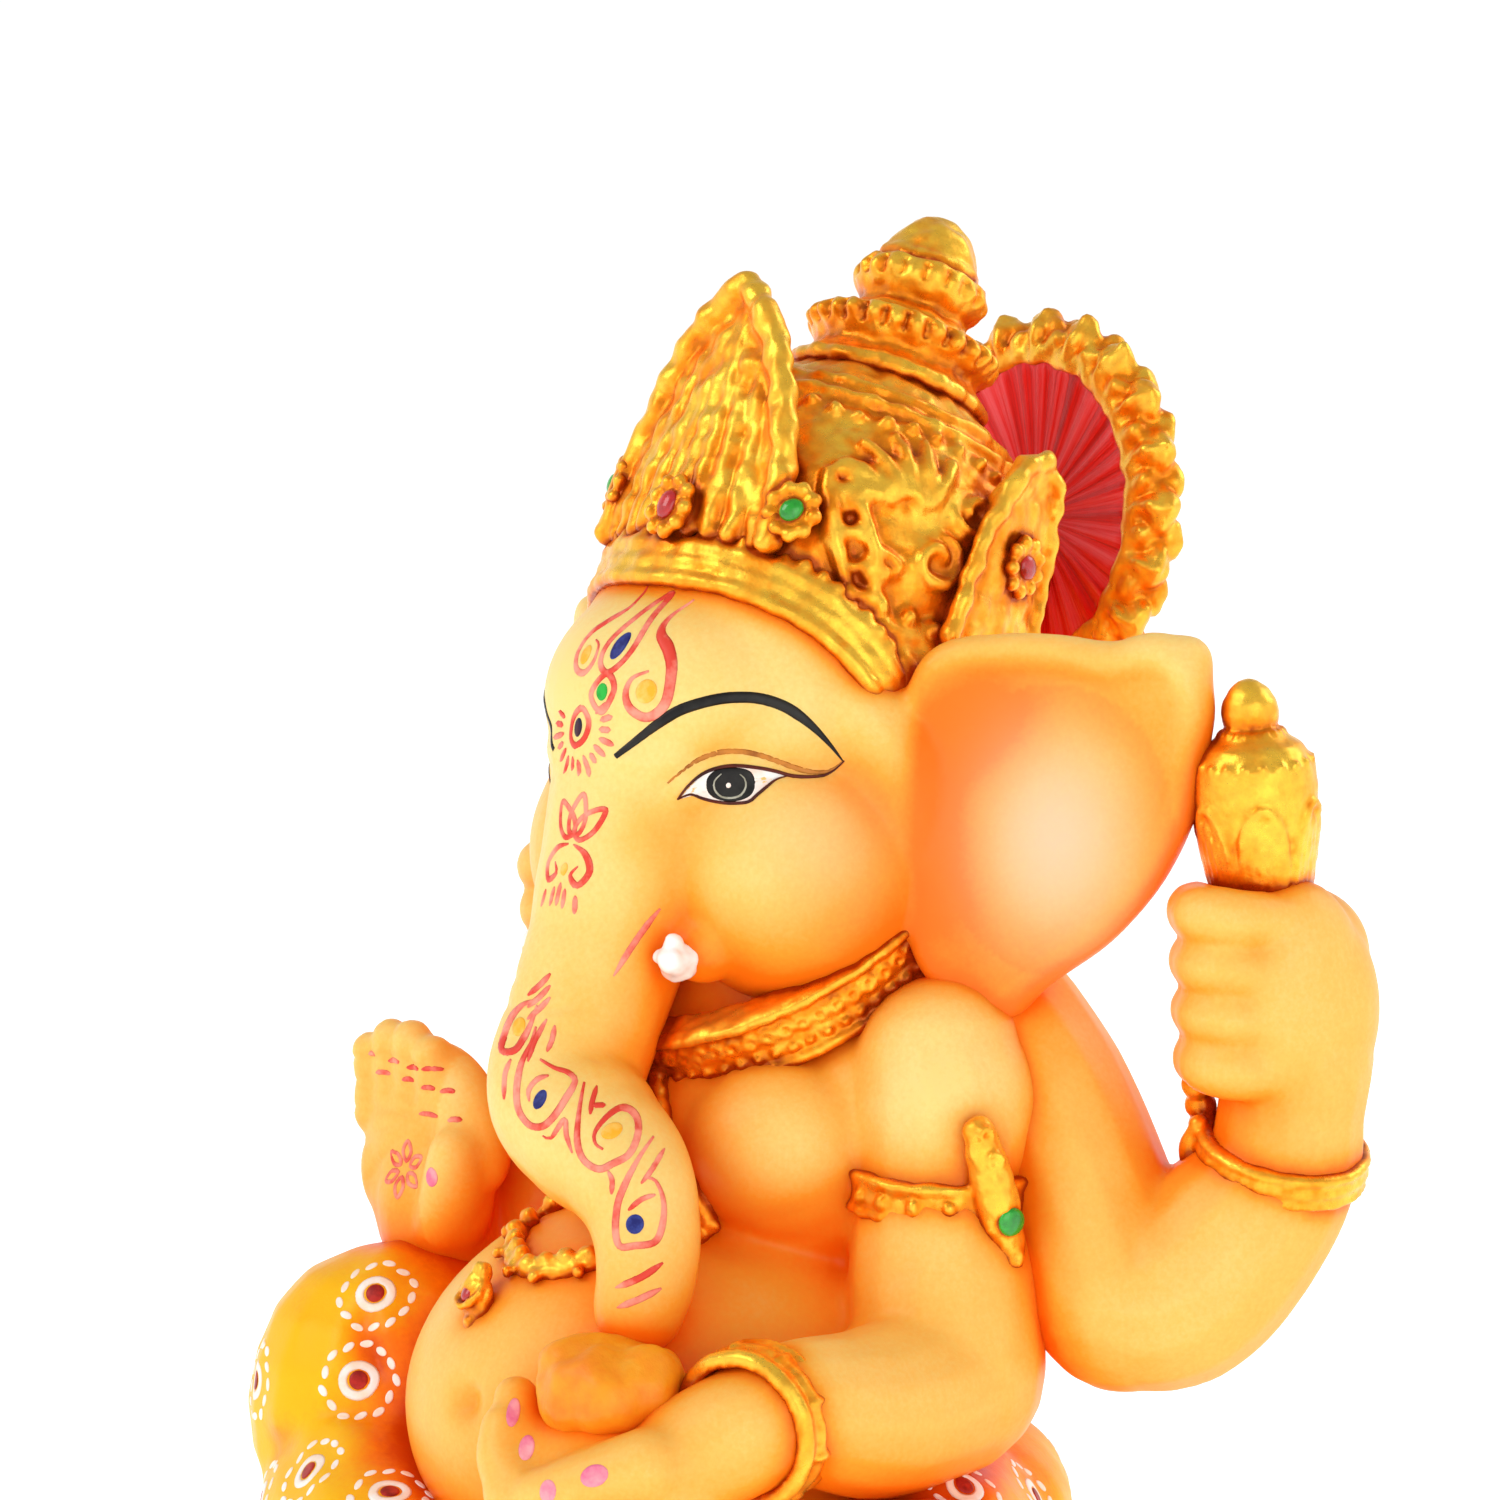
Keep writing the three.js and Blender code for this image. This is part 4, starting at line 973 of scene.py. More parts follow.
PENDANT = on_torso(-4.6, 60.8, 0.9)
LOOKS = (on_torso(-4.6, 60.8, 2.0) - on_torso(-4.6, 60.8)).normalized()
pendant = knead("pendant", [
    lump(PENDANT, (2.6, 1.7, 3.2)), lump(PENDANT + Vector((0.3, 0.6, 3.2)), (1.3, 1.3, 1.3), fine=12),
    lump(PENDANT + Vector((-0.2, -0.6, -3.2)), (1.4, 1.2, 1.4), fine=12),
    ring_at(PENDANT + LOOKS * 1.3, LOOKS, 2.1, 0.5, 20),
], 0.3, 1)
chase(pendant, 1.2, 0.25, 13.0)
finish(pendant, "pendant", "gold", gold, "pendant")
finish(lump(PENDANT + LOOKS * 1.4, (1.1, 1.5, 0.7), axis=LOOKS, fine=20), "pendant_gem", "crimson", red)

# ---------------------------------------------------------------- armlets
# Each front upper arm wears a gold band with a tall leaf on its outer side. The leaf
# slants down the arm and holds a round green gem; small rings are cast near its top.
for side, s in SIDE.items():
    middle = Vector((s * 33.4, -2, 76))
    upwards = Vector((s * 0.08, -0.06, 1)).normalized()
    outwards = (Vector((s * 0.974, -0.225, 0)) - upwards * Vector((s * 0.974, -0.225,
                                                                   0)).dot(upwards)).normalized()
    across = upwards.cross(outwards) * s
    band = hoop([(10.2, -2.7), (12.0, -2.75), (12.5, -2.3), (12.3, -1.6), (12.1, -1.2), (12.1, 1.2),
                 (12.3, 1.6), (12.5, 2.3), (12.0, 2.75), (10.2, 2.7)], 72)
    put(band, middle, axis=upwards)
    parts = [band]
    for k in range(18):
        way = 2 * math.pi * k / 18
        parts.append(put(lump(spoke(way, 12.1), (0.9, 0.9, 1.0), fine=8), middle, axis=upwards))
    leaf = []
    for k in range(7):
        share = k / 6
        spot = middle + outwards * (12.2 + 0.5 * math.sin(math.pi * share)) + upwards * (9.4 - 18.4 * share)
        spot += across * (-2.2 + 4.6 * share) - outwards * (0.9 * abs(share - 0.5))
        leaf.append((*spot, 2.0 + 0.7 * math.sin(math.pi * min(share * 1.1, 1))))
    parts += roll(*leaf, fine=4)
    for k, size in ((0, 0.8), (1, 0.9), (5, 0.8)):
        spot = Vector(leaf[k][:3]) + outwards * (leaf[k][3] + 0.1)
        parts.append(ring_at(spot, outwards, size, 0.32, 16))
    armlet = knead(side + "_armlet", parts, 0.36, 1)
    chase(armlet, 1.8, 0.3, 14.0 + s)
    finish(armlet, side + "_armlet", "gold", gold, side + "_armlet")
    spot = middle + outwards * 15.1 + across * 0.6 - upwards * 1.2
    finish(lump(spot, (1.75, 1.75, 0.7), axis=outwards, fine=22), side + "_armlet_gem", "gold", green)

# ---------------------------------------------------------------- bracelets and anklet
# Plain ribbed gold bands at each wrist and at the right ankle, cast on the arm; the
# back wrists have a knot of relief on the inner side.
BANDS = (
    ("left_back_bracelet", (63.4, 25.0, 80.2), (0.34, -0.1, 1), 8.6, 10.7, 2.3),
    ("right_back_bracelet", (-63.4, 25.0, 80.2 - RIGHT_DROP * 0.84), (-0.34, -0.1, 1), 8.6, 10.7, 2.3),
    ("left_front_bracelet", (39.1, -36.6, 52.2), (0.3, -1, -0.1), 7.6, 9.7, 3.5),
    ("right_front_bracelet", (-45.6, -15.6, 57.4), (-0.1, -0.45, 1), 9.0, 11.2, 2.2),
    ("right_anklet", (3.6, -49.4, 23.4), (1, -0.15, -0.12), 7.4, 9.4, 2.0),
)
for name, spot, axis, inner, outer, half in BANDS:
    section = [(inner, -half), (outer - 0.7, -half), (outer, -half * 0.72), (outer - 0.5, -half * 0.4),
               (outer - 0.05, 0),
               (outer - 0.5, half * 0.4), (outer, half * 0.72), (outer - 0.7, half), (inner, half)]
    parts = [put(hoop(section, 72), spot, axis=axis)]
    if "back" in name:
        s, drop = (1, 0) if name.startswith("left") else (-1, RIGHT_DROP * 0.84)
        for k in range(5):
            parts.append(lump((s * (55.4 - 0.5 * k), 18.8 + 1.1 * k, 88.4 - 2.6 * k - drop), (2.1, 2.0, 1.9),
                              fine=12))
        parts += roll((s * 57, 17.4, 84 - drop, 1.2), (s * 55.6, 18, 80.4 - drop, 1.9),
                      (s * 55.6, 19.4, 77 - drop, 1.2), fine=3)
    if name == "left_front_bracelet":
        for k in range(9):
            way = 2 * math.pi * k / 9
            parts.append(put(lump(spoke(way, 9.4), (0.7, 0.7, 1.5), fine=8), spot, axis=axis))
    band = knead(name, parts, 0.36, 1)
    chase(band, 2.4, 0.14, 17.0)
    finish(band, name, "gold", gold, name)

# ---------------------------------------------------------------- tusks
# Two short tusk stubs, faceted by the brush and painted glossy white, stand out of
# small sockets beside the trunk.
ivory, tree, shader = coat_of("ivory_white", Roughness=0.3, Coat_Weight=0.5, Coat_Roughness=0.1)
dress(tree, shader, ramp(tree, mottle(tree, 1.6, 3), (0.0, (0.86, 0.80, 0.72)), (0.5, (1.0, 0.98, 0.94))))
for side, s in SIDE.items():
    tusk = knead(side + "_tusk", [
        *roll((s * 9.6, -22.6, 103.0, 2.6), (s * 12.2, -26.2, 102.8, 2.5), (s * 13.2, -28.4, 103.2, 1.6)),
        lump((s * 12.9, -27.6, 104.9), (1.1, 1.4, 1.5), (20, 0, 0), fine=10),
        lump((s * 11.4, -28.2, 103.4), (1.1, 1.1, 0.9), fine=10),
    ], 0.3, 2)
    chase(tusk, 1.8, 0.35, 20.0)
    finish(tusk, side + "_tusk", "ivory", ivory, side + "_tusk")

# ---------------------------------------------------------------- painted shade and blush
# The cream casting gets painted shade in its colour before the fine painting: soft orange in
# every recess, under each form and towards its back, red-orange in tight creases, and darker
# gold in the relief's hollows. Pink on cheeks and ears is paint.
def hemisphere(count):
    """Evenly spread directions over the half sphere round +Z."""
    rays = []
    for k in range(count):
        lift = 1 - (k + 0.5) / count
        turn = math.pi * (3 - math.sqrt(5)) * k
        flat = math.sqrt(1 - lift * lift)
        rays.append(Vector((flat * math.cos(turn), flat * math.sin(turn), lift)))
    return rays


def closeness(piece, tree, near, far, rays):
    """How hemmed in each point is, at a short and at a long reach in mm: 0 open, 1 shut in."""
    tight, wide = [], []
    fans = [[Matrix.Rotation(1.7 * k, 3, "Z") @ ray for ray in rays] for k in range(7)]
    for k, vertex in enumerate(piece.data.vertices):
        normal = vertex.normal
        turn = Vector((0, 0, 1)).rotation_difference(normal)
        start = vertex.co + normal * (0.25 * MM)
        short = long = 0.0
        for ray in fans[k % 7]:
            gap = tree.ray_cast(start, turn @ ray, far * MM)[3]
            if gap is not None:
                long += 1 - gap / (far * MM)
                short += max(0.0, 1 - gap / (near * MM))
        tight.append(short / len(rays))
        wide.append(long / len(rays))
    return np.array(tight), np.array(wide)


def soften(piece, values, rounds):
    """Spreads a painted shade value softly along the surface."""
    ends = np.empty(len(piece.data.edges) * 2, int)
    piece.data.edges.foreach_get("vertices", ends)
    a, b = ends.reshape(-1, 2).T
    count = np.bincount(a, minlength=len(values)) + np.bincount(b, minlength=len(values))
    for _ in range(rounds):
        total = np.bincount(a, values[b], len(values)) + np.bincount(b, values[a], len(values))
        values = 0.4 * values + 0.6 * total / np.maximum(count, 1)
    return values


def tone(piece, name, values):
    layer = piece.data.attributes.new(name, "FLOAT", "POINT")
    layer.data.foreach_set("value", np.clip(values, 0, 1).astype(np.float32))


skins = [body, head, back_arms["left"], back_arms["right"], feet["right"], feet["left"], legs]
hard = [piece for piece in bpy.context.scene.objects
        if piece.type == "MESH" and "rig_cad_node" not in piece and piece not in skins]
surround = all_round(skins + hard)
rays = hemisphere(5)
EAR_CENTRES = [ear_point(s, 19.5, 118, 2) for s in (1, -1)]
for piece in skins:
    tight, wide = closeness(piece, surround, 6, 26, rays)
    tight, wide = soften(piece, tight, 7), soften(piece, wide, 20)
    points, away = places(piece), outward(piece)
    # Painted shade: more orange where a piece is hemmed in, where its surface turns down, and towards the
    # idol's back.
    below = np.clip(-away[:, 2], 0, 1)
    behind = np.clip((points[:, 1] + 4) / 30, 0, 1) * (0.35 + 0.65 * np.clip(away[:, 1] * 0.6 + 0.4, 0, 1))
    shade = wide * (1.0 if piece is body else 1.35) + below * 0.24 + behind * 0.2
    if piece is body:
        # Painted shade on the body: more orange towards the bottom and on the raised right front arm.
        shade += 0.04 + 0.2 * np.clip((86 - points[:, 2]) / 36, 0, 1) + 0.12 * (points[:, 0] < -38)
    elif piece is head:
        # Painted shade on the head: a little more orange low on the face, and soft orange spots on both sides
        # under the jaw, at the ear's root, under the eye's inner corner, on the cheek, above the eye and
        # beside the trunk's root.
        shade += 0.05 + 0.07 * np.clip((114 - points[:, 2]) / 8, 0, 1)
        for (x, y, z), size, strength in (((27, -9, 110), 9, 0.34), ((28, -6, 123), 7, 0.34),
                                          ((10, -29.5, 118.5), 4.5, 0.2),
                                          ((24, -15, 113), 12, 0.14), ((18, -20, 132), 6, 0.08),
                                          ((14, -22, 100), 6, 0.2)):
            for s in (1, -1):
                shade += strength * np.exp(-(np.linalg.norm(points - np.array((s * x, y, z)),
                                                            axis=1) / size) ** 2)
    elif piece is legs:
        # Painted orange shade in the wrap's fold grooves.
        shade += 0.42 * soften(piece, fold_shade, 3)
    else:
        shade += 0.15
    # Red-orange painted shade in tight creases, where the surface is closely hemmed in.
    tone(piece, "crease_shade", np.clip((tight - 0.2) * 1.8, 0, 0.85))
    blush = np.zeros(len(points))
    if piece is head:
        # Painted shade in each ear's dish: orange just inside the rim and across the dish, darkest at its top
        # inner edge and again lower down.
        for s in (1, -1):
            root, across = ear_point(s, 0, 0), Vector((EAR_OUT.x * s, EAR_OUT.y, 0))
            front = np.array((EAR_FRONT.x * s, EAR_FRONT.y, 0))
            out = (points - np.array(root)) @ np.array(across)
            ahead = points @ front - np.array(root) @ front
            facing = np.clip(away @ front * 1.6, 0, 1) * np.clip((ahead + 4) / 2, 0, 1)
            apart = np.hypot((out - 20) / 15.5, (points[:, 2] - 119) / 18.5)
            ear_dish_shade = 0.30 * np.exp(-((apart - 0.95) / 0.33) ** 2) + 0.10 * (apart < 0.95)
            ear_dish_shade += 0.55 * np.exp(-np.hypot((out - 9) / 7.5, (points[:, 2] - 131.5) / 6.5) ** 2)
            ear_dish_shade += 0.22 * np.exp(-np.hypot((out - 7) / 5, (points[:, 2] - 113) / 9) ** 2)
            shade = shade + ear_dish_shade * facing * np.clip((out - 1.5) / 2, 0, 1)
        for middle in EAR_CENTRES:
            apart = np.linalg.norm((points - np.array(middle)) / (1, 1, 1.3), axis=1)
            blush = np.maximum(blush, 0.95 * np.exp(-(apart / 8.5) ** 2))
        for s in (1, -1):
            apart = np.linalg.norm(points - np.array((s * 24, -14, 117)), axis=1)
            blush = np.maximum(blush, 0.3 * np.exp(-(apart / 7) ** 2))
    tone(piece, "shade", shade)
    tone(piece, "blush", blush)
# Painted shade for the gold pieces: darker where the relief is closely hemmed in.
for piece in hard:
    if piece.data.materials[0] == gold:
        tight, wide = closeness(piece, surround, 2.2, 7, hemisphere(3))
        tone(piece, "hollow_shade", soften(piece, tight * 1.5 + wide * 0.6, 3))


def mottled_painted_shade(tree, cloud, grain):
    """The painted shade, broken up by random cloudy patches and fine speckle."""
    cloudy = node(tree, "Math", {0: attribute(tree, "shade"), 1: cloud}, operation="ADD").outputs["Value"]
    return node(tree, "Math", {0: cloudy, 1: grain}, operation="ADD", use_clamp=True).outputs["Value"]


def glazed(tree, name, under, colour):
    """A colour laid over another one, as strong as the attribute of that name says."""
    return node(tree, "Mix", {"Factor": attribute(tree, name), "A": under, "B": (*colour, 1)},
                data_type="RGBA").outputs["Result"]


# The skin's colour carries the painted shade: cream where open, through orange to deep orange as the shade
# grows, red-orange with painted shade in tight creases; the pink is painted blush.
skin, tree, shader = coat_of("cream_skin", Subsurface_Weight=0.3, Subsurface_Radius=(1.0, 0.42, 0.16),
                             Subsurface_Scale=0.0025, Specular_IOR_Level=0.16, Coat_Weight=0.04,
                             Coat_Roughness=0.3)
painted_shade_level = mottled_painted_shade(tree, mottle(tree, 14, 3, -0.05, 0.05), mottle(tree, 0.35, 2, -0.035, 0.035))
cream = ramp(tree, painted_shade_level, (0.05, (1.0, 0.71, 0.24)), (0.26, (1.0, 0.54, 0.11)),
             (0.5, (1.0, 0.37, 0.03)), (0.85, (1.0, 0.20, 0.004)))
deep = glazed(tree, "crease_shade", cream, (0.96, 0.15, 0.002))
rosy = glazed(tree, "blush", deep, (1.0, 0.64, 0.42))
dress(tree, shader, rosy, mottle(tree, 6, 4, 0.32, 0.42), mottle(tree, 0.5, 3), 0.12, 0.1)

# The wrap's colour carries the painted shade: yellow where open, through orange to dark red-orange as the
# shade grows, and darker with painted shade in tight creases.
cloth, tree, shader = coat_of("yellow_wrap", Subsurface_Weight=0.15, Subsurface_Radius=(1.0, 0.4, 0.1),
                              Subsurface_Scale=0.002, Specular_IOR_Level=0.12, Coat_Weight=0.1,
                              Coat_Roughness=0.25)
painted_shade_level = mottled_painted_shade(tree, mottle(tree, 9, 4, -0.12, 0.12), mottle(tree, 0.4, 2, -0.03, 0.03))
amber = ramp(tree, painted_shade_level, (0.06, (1.0, 0.52, 0.003)), (0.24, (1.0, 0.38, 0.001)),
             (0.46, (0.98, 0.20, 0.001)), (0.7, (0.74, 0.08, 0.0)))
deep = glazed(tree, "crease_shade", amber, (0.60, 0.05, 0.0))
dress(tree, shader, deep, mottle(tree, 4, 4, 0.3, 0.46), mottle(tree, 0.4, 3), 0.2, 0.1)

finish(legs, "legs_and_wrap", "cloth", cloth, "right_thigh", "left_thigh", "right_shin", "left_shin",
       "dhoti_hips")
finish(feet["right"], "right_foot", "skin", skin, "right_foot")
finish(feet["left"], "left_foot", "skin", skin, "left_foot")
finish(body, "body", "skin", skin, "torso", *[side + part for side in SIDE for part in (
    "_front_upper_arm", "_front_forearm", "_front_hand")])
finish(head, "head", "skin", skin, "head", "trunk", "left_ear", "right_ear")
for side in SIDE:
    finish(back_arms[side], side + "_back_arm", "skin", skin, *[side + part for part in (
        "_back_upper_arm", "_back_forearm", "_back_hand")])

# ---------------------------------------------------------------- eyes and brows
# Long almond eyes under a brown lid line: white, a black iris with a grey ring and a
# white point, dark lash lines and a tapering brow. Each mark is a thin film of enamel.
def stencil(piece, origin=(0, 0, 0), across=(1, 0, 0), up=(0, 0, 1), facing=(0, -1, 0)):
    """A flat guide in front of a piece: gives the point and normal under (u, v) in mm, or None."""
    search = all_round([piece])

    def under(u, v):
        start = (Vector(origin) + Vector(across) * u + Vector(up) * v + Vector(facing) * 45) * MM
        spot, normal, _, _ = search.ray_cast(start, -Vector(facing), 0.12)
        return None if spot is None else (spot / MM, normal)
    return under


def flowing(line, closed=False, step=0.35):
    """A smooth line through the given points, in even steps."""
    line = [Vector(p) for p in line]
    count = len(line)
    out = []
    for i in range(count if closed else count - 1):
        if closed:
            a, b, c, d = (line[(i + k) % count] for k in (-1, 0, 1, 2))
        else:
            a, b, c, d = (line[min(max(i + k, 0), count - 1)] for k in (-1, 0, 1, 2))
        pieces_of = max(2, int((c - b).length / step))
        for k in range(pieces_of):
            t = k / pieces_of
            out.append(0.5 * ((2 * b) + (c - a) * t + (2 * a - 5 * b + 4 * c - d) * t * t
                              + (3 * b - a - 3 * c + d) * t ** 3))
    if not closed:
        out.append(line[-1])
    return out


BOLD = 1.5  # a loaded brush spreads each line by this much


class Pot:
    """Collects the strokes of one colour and then dries them into one piece."""

    def __init__(self):
        self.points, self.faces = [], []

    def stroke(self, under, line, wide, tip=0.25, closed=False, lift=0.1, tail=None):
        """One stroke along a line, tapering to tip of its width at the start and tail at the end."""
        line, wide = flowing(line, closed), wide * BOLD
        tail = tip if tail is None else tail
        last = len(line) - 1
        rings = []
        for i, here in enumerate(line):
            before = line[i - 1 if closed or i else 0]
            after = line[(i + 1) % len(line) if closed else min(i + 1, last)]
            run = (after - before).normalized()
            share = i / last
            taper = min(1, tip + share * 4 * (1 - tip), tail + (1 - share) * 4 * (1 - tail))
            size = wide if closed else wide * taper
            edge = Vector((-run.y, run.x)) * size / 2
            hits = [under(*(here + edge * k)) for k in (-1, -0.5, 0, 0.5, 1)]
            if None in hits:
                continue
            heights = (-0.01, lift * 0.8, lift, lift * 0.8, -0.01)
            ring = [spot + normal * height for (spot, normal), height in zip(hits, heights)]
            ring.append(hits[2][0] - hits[2][1] * 0.35)
            rings.append(ring)
        self._join(rings, closed)

    def _join(self, rings, closed):
        if len(rings) < 2:
            return
        base, width = len(self.points), len(rings[0])
        self.points += [p for ring in rings for p in ring]
        pairs = [(i, i + 1) for i in range(len(rings) - 1)] + ([(len(rings) - 1, 0)] if closed else [])
        for i, j in pairs:
            a, b = base + i * width, base + j * width
            for k in range(width):
                m = (k + 1) % width
                self.faces.append((a + k, a + m, b + m, b + k))
        if not closed:
            self.faces.append(tuple(base + k for k in range(width)))
            self.faces.append(tuple(base + (len(rings) - 1) * width + k for k in range(width)))

    def dab(self, under, outline, lift=0.1):
        """A filled shape inside a closed outline."""
        outline = flowing(outline, True, 0.3)
        middle = sum(outline, Vector((0, 0))) / len(outline)
        core = under(*middle)
        if core is None:
            return
        rings = []
        for share, height in ((1.0, -0.03), (0.9, lift * 0.85), (0.68, lift), (0.42, lift), (0.2, lift)):
            ring = [under(*(middle + (p - middle) * share)) for p in outline]
            if None in ring:
                return
            rings.append([spot + normal * height for spot, normal in ring])
        base, count = len(self.points), len(outline)
        self.points += [p for ring in rings for p in ring]
        self.points += [core[0] + core[1] * lift, core[0] - core[1] * 0.5]
        for k in range(count):
            m = (k + 1) % count
            for a in range(base, base + 4 * count, count):
                self.faces.append((a + k, a + m, a + count + m, a + count + k))
            self.faces.append((base + 4 * count + k, base + 4 * count + m, base + 5 * count))
            self.faces.append((base + m, base + k, base + 5 * count + 1))

    def dot(self, under, u, v, wide, tall=None, turn=0, lift=0.1):
        tall = wide if tall is None else tall
        c, s = math.cos(math.radians(turn)), math.sin(math.radians(turn))
        ring = []
        for k in range(10):
            x, y = wide * math.cos(k * math.pi / 5), tall * math.sin(k * math.pi / 5)
            ring.append((u + x * c - y * s, v + x * s + y * c))
        self.dab(under, ring, lift)

    def dry(self, name, slot, coat):
        mesh = bpy.data.meshes.new(name)
        mesh.from_pydata([p * MM for p in self.points], [], self.faces)
        work = bmesh.new()
        work.from_mesh(mesh)
        bmesh.ops.recalc_face_normals(work, faces=work.faces)
        work.to_mesh(mesh)
        work.free()
        piece = bpy.data.objects.new(name, mesh)
        bpy.context.collection.objects.link(piece)
        return finish(piece, name, slot, coat)


def brushed_paint(name, thin, full, size=2.0):
    """Hand-brushed enamel: thin and pale where the brush ran dry, full where it was loaded."""
    paint, tree, shader = coat_of(name, Specular_IOR_Level=0.25, Coat_Weight=0.06, Coat_Roughness=0.15)
    dress(tree, shader, ramp(tree, mottle(tree, size, 4), (0.25, thin), (0.7, full)),
          mottle(tree, 1.0, 3, 0.3, 0.5))
    return paint


def cheek_guide(piece, s=1):
    """The guide that is square to the left cheek or, with s = -1, to the right one."""
    return stencil(piece, *[(way.x * s, way.y, way.z) for way in (LEFT_EYE, ALONG, UPWARD, CHEEK)])


black = brushed_paint("brow_black", (0.02, 0.018, 0.014), (0.004, 0.003, 0.003), 3.0)
lash = brushed_paint("lash_brown", (0.11, 0.012, 0.004), (0.04, 0.003, 0.002), 2.0)
lid_brown = brushed_paint("lid_brown", (0.62, 0.22, 0.025), (0.34, 0.10, 0.008), 2.0)
eye_white = brushed_paint("eye_white", (1.0, 0.66, 0.50), (1.0, 0.93, 0.86), 3.0)
iris_grey = brushed_paint("iris_grey", (0.28, 0.26, 0.18), (0.45, 0.43, 0.33), 1.0)
UPPER_LID = ((-6.3, -1.75), (-5.0, -0.1), (-3.4, 1.25), (-1.6, 2.0), (0.4, 2.3), (2.6, 2.15), (5.0, 1.75),
             (7.2, 1.15))
LOWER_LID = ((-6.3, -1.75), (-4.8, -1.15), (-3.4, -1.6), (-1.8, -2.0), (0.2, -2.2), (2.2, -2.0), (3.2, -1.2),
             (4.4, -0.2), (5.6, 0.7), (7.2, 1.15))
IRIS = ((-3.0, 0.0), (-2.7, 1.1), (-1.6, 1.9), (0, 2.15), (1.6, 2.05), (2.7, 1.5), (3.1, 0.2), (2.8, -1.0),
        (1.8, -1.75), (0, -2.1), (-1.8, -1.7), (-2.7, -1.0))
EYE_COLOURS = {"white": ("ivory", eye_white), "grey": ("ivory", iris_grey), "black": ("skin", black),
               "lash": ("skin", lash), "lid": ("skin", lid_brown), "point": ("ivory", eye_white)}
for side, s in SIDE.items():
    cheek = cheek_guide(head, s)
    pots = {colour: Pot() for colour in EYE_COLOURS}
    pots["white"].dab(cheek, [*UPPER_LID, *reversed(LOWER_LID[1:-1])], 0.03)
    pots["black"].dab(cheek, IRIS, 0.16)
    pots["grey"].stroke(cheek, [(-1.0, 1.35), (-1.85, 0.5), (-1.85, -0.5), (-1.0, -1.4), (0.3, -1.6),
                                (1.4, -1.2), (1.95, -0.2), (1.75, 0.8), (1.2, 1.3)], 0.3, 0.5, lift=0.22)
    # The white point is a painted highlight on the iris, painted on the idol as well.
    pots["point"].dot(cheek, -0.15, 0.0, 0.33, 0.33, lift=0.28)
    pots["lash"].stroke(cheek, [*UPPER_LID, (8.5, 1.0), (10.0, 1.0), (11.3, 1.15), (12.5, 1.8), (13.7, 2.9)],
                        0.32, 0.5, lift=0.24, tail=0.4)
    pots["lash"].stroke(cheek, LOWER_LID, 0.28, 0.5, lift=0.23, tail=0.3)
    pots["lid"].stroke(cheek, LID_FOLD, 0.46, 0.3, lift=0.07, tail=0.5)
    pots["black"].stroke(cheek, BROW, 0.95, 0.5, lift=0.14, tail=0.12)
    for colour, (slot, coat) in EYE_COLOURS.items():
        pots[colour].dry(side + "_eye_" + colour, slot, coat)

# ---------------------------------------------------------------- forehead and trunk painting
# A festival pattern in red enamel runs from the brow down the trunk: a flame with a blue
# drop, paired curls, a ring of rays, then leaf curls with coloured centres and dashes.
red_line = brushed_paint("red_line", (1.0, 0.32, 0.22), (0.78, 0.055, 0.03), 2.4)
blue_dot = brushed_paint("blue_dot", (0.03, 0.05, 0.28), (0.008, 0.012, 0.14), 1.0)
yellow_dot = brushed_paint("yellow_dot", (1.0, 0.62, 0.15), (1.0, 0.45, 0.02), 1.5)
green_dot = brushed_paint("green_dot", (0.02, 0.48, 0.05), (0.01, 0.33, 0.03), 1.0)
dark_dot = brushed_paint("dark_dot", (0.05, 0.006, 0.02), (0.012, 0.004, 0.03), 1.0)
brow_face, left_cheek = stencil(head), cheek_guide(head)


def turned_on(under, u, v, degrees, size=1.0):
    """The same guide, turned and moved, for a motif drawn about its own middle."""
    c, s = math.cos(math.radians(degrees)) * size, math.sin(math.radians(degrees)) * size
    return lambda x, y: under(u + x * c - y * s, v + x * s + y * c)


reds, blues, yellows, greens, darks = Pot(), Pot(), Pot(), Pot(), Pot()
FLAME = (
    (((5.1, 146.6), (5.9, 143.4), (6.1, 140.6), (5.3, 138.6), (3.6, 137.3), (2.0, 138.5), (2.0, 140.8),
      (3.5, 143.6)),
     0.6, True),
    (((3.6, 137.2), (5.2, 135.4), (3.5, 132.6), (1.6, 134.6)), 0.62, True),
    (((0.3, 132.8), (1.4, 131.2), (0.9, 129.2), (-0.6, 128.3), (-1.9, 129.2), (-1.9, 131.1), (-0.9, 132.4)),
     0.62, True),
    (((8.6, 146.0), (7.9, 144.0), (8.3, 142.2), (10.3, 140.3), (11.6, 138.0), (11.9, 134.8), (11.0, 132.9),
      (9.4, 132.2), (7.6, 133.2), (6.9, 135.0), (7.4, 136.8), (9.2, 137.7)), 0.84, False),
    (((0.6, 147.4), (1.3, 145.0), (-0.6, 143.2), (-2.4, 141.7), (-3.1, 139.4), (-2.2, 137.5), (-0.3, 137.1),
      (0.8, 138.6), (0.5, 140.4), (-0.5, 141.0)), 0.62, False),
)
for line, wide, closed in FLAME:
    reds.stroke(brow_face, line, wide, closed=closed)
blues.dot(brow_face, 4.0, 140.5, 1.0, 1.7, -12)
greens.dot(brow_face, 3.4, 135.0, 0.9, 1.1)
darks.dot(brow_face, -0.4, 130.5, 0.8, 1.2)
yellows.dot(brow_face, 9.4, 135.3, 1.3, 1.5)
yellows.dot(brow_face, -1.2, 139.2, 0.9, 1.2)
for k in range(15):
    way = math.radians(34 - 16.6 * k)
    near, far = 3.5 + 0.3 * (k % 2), 6.3 - 0.5 * (k % 3)
    reds.stroke(brow_face, [(-0.4 + math.cos(way) * r, 130.4 + math.sin(way) * r) for r in (near,
                                                                                            (near + far) / 2,
                                                                                            far)], 0.56, 0.3,
                tail=0.2)
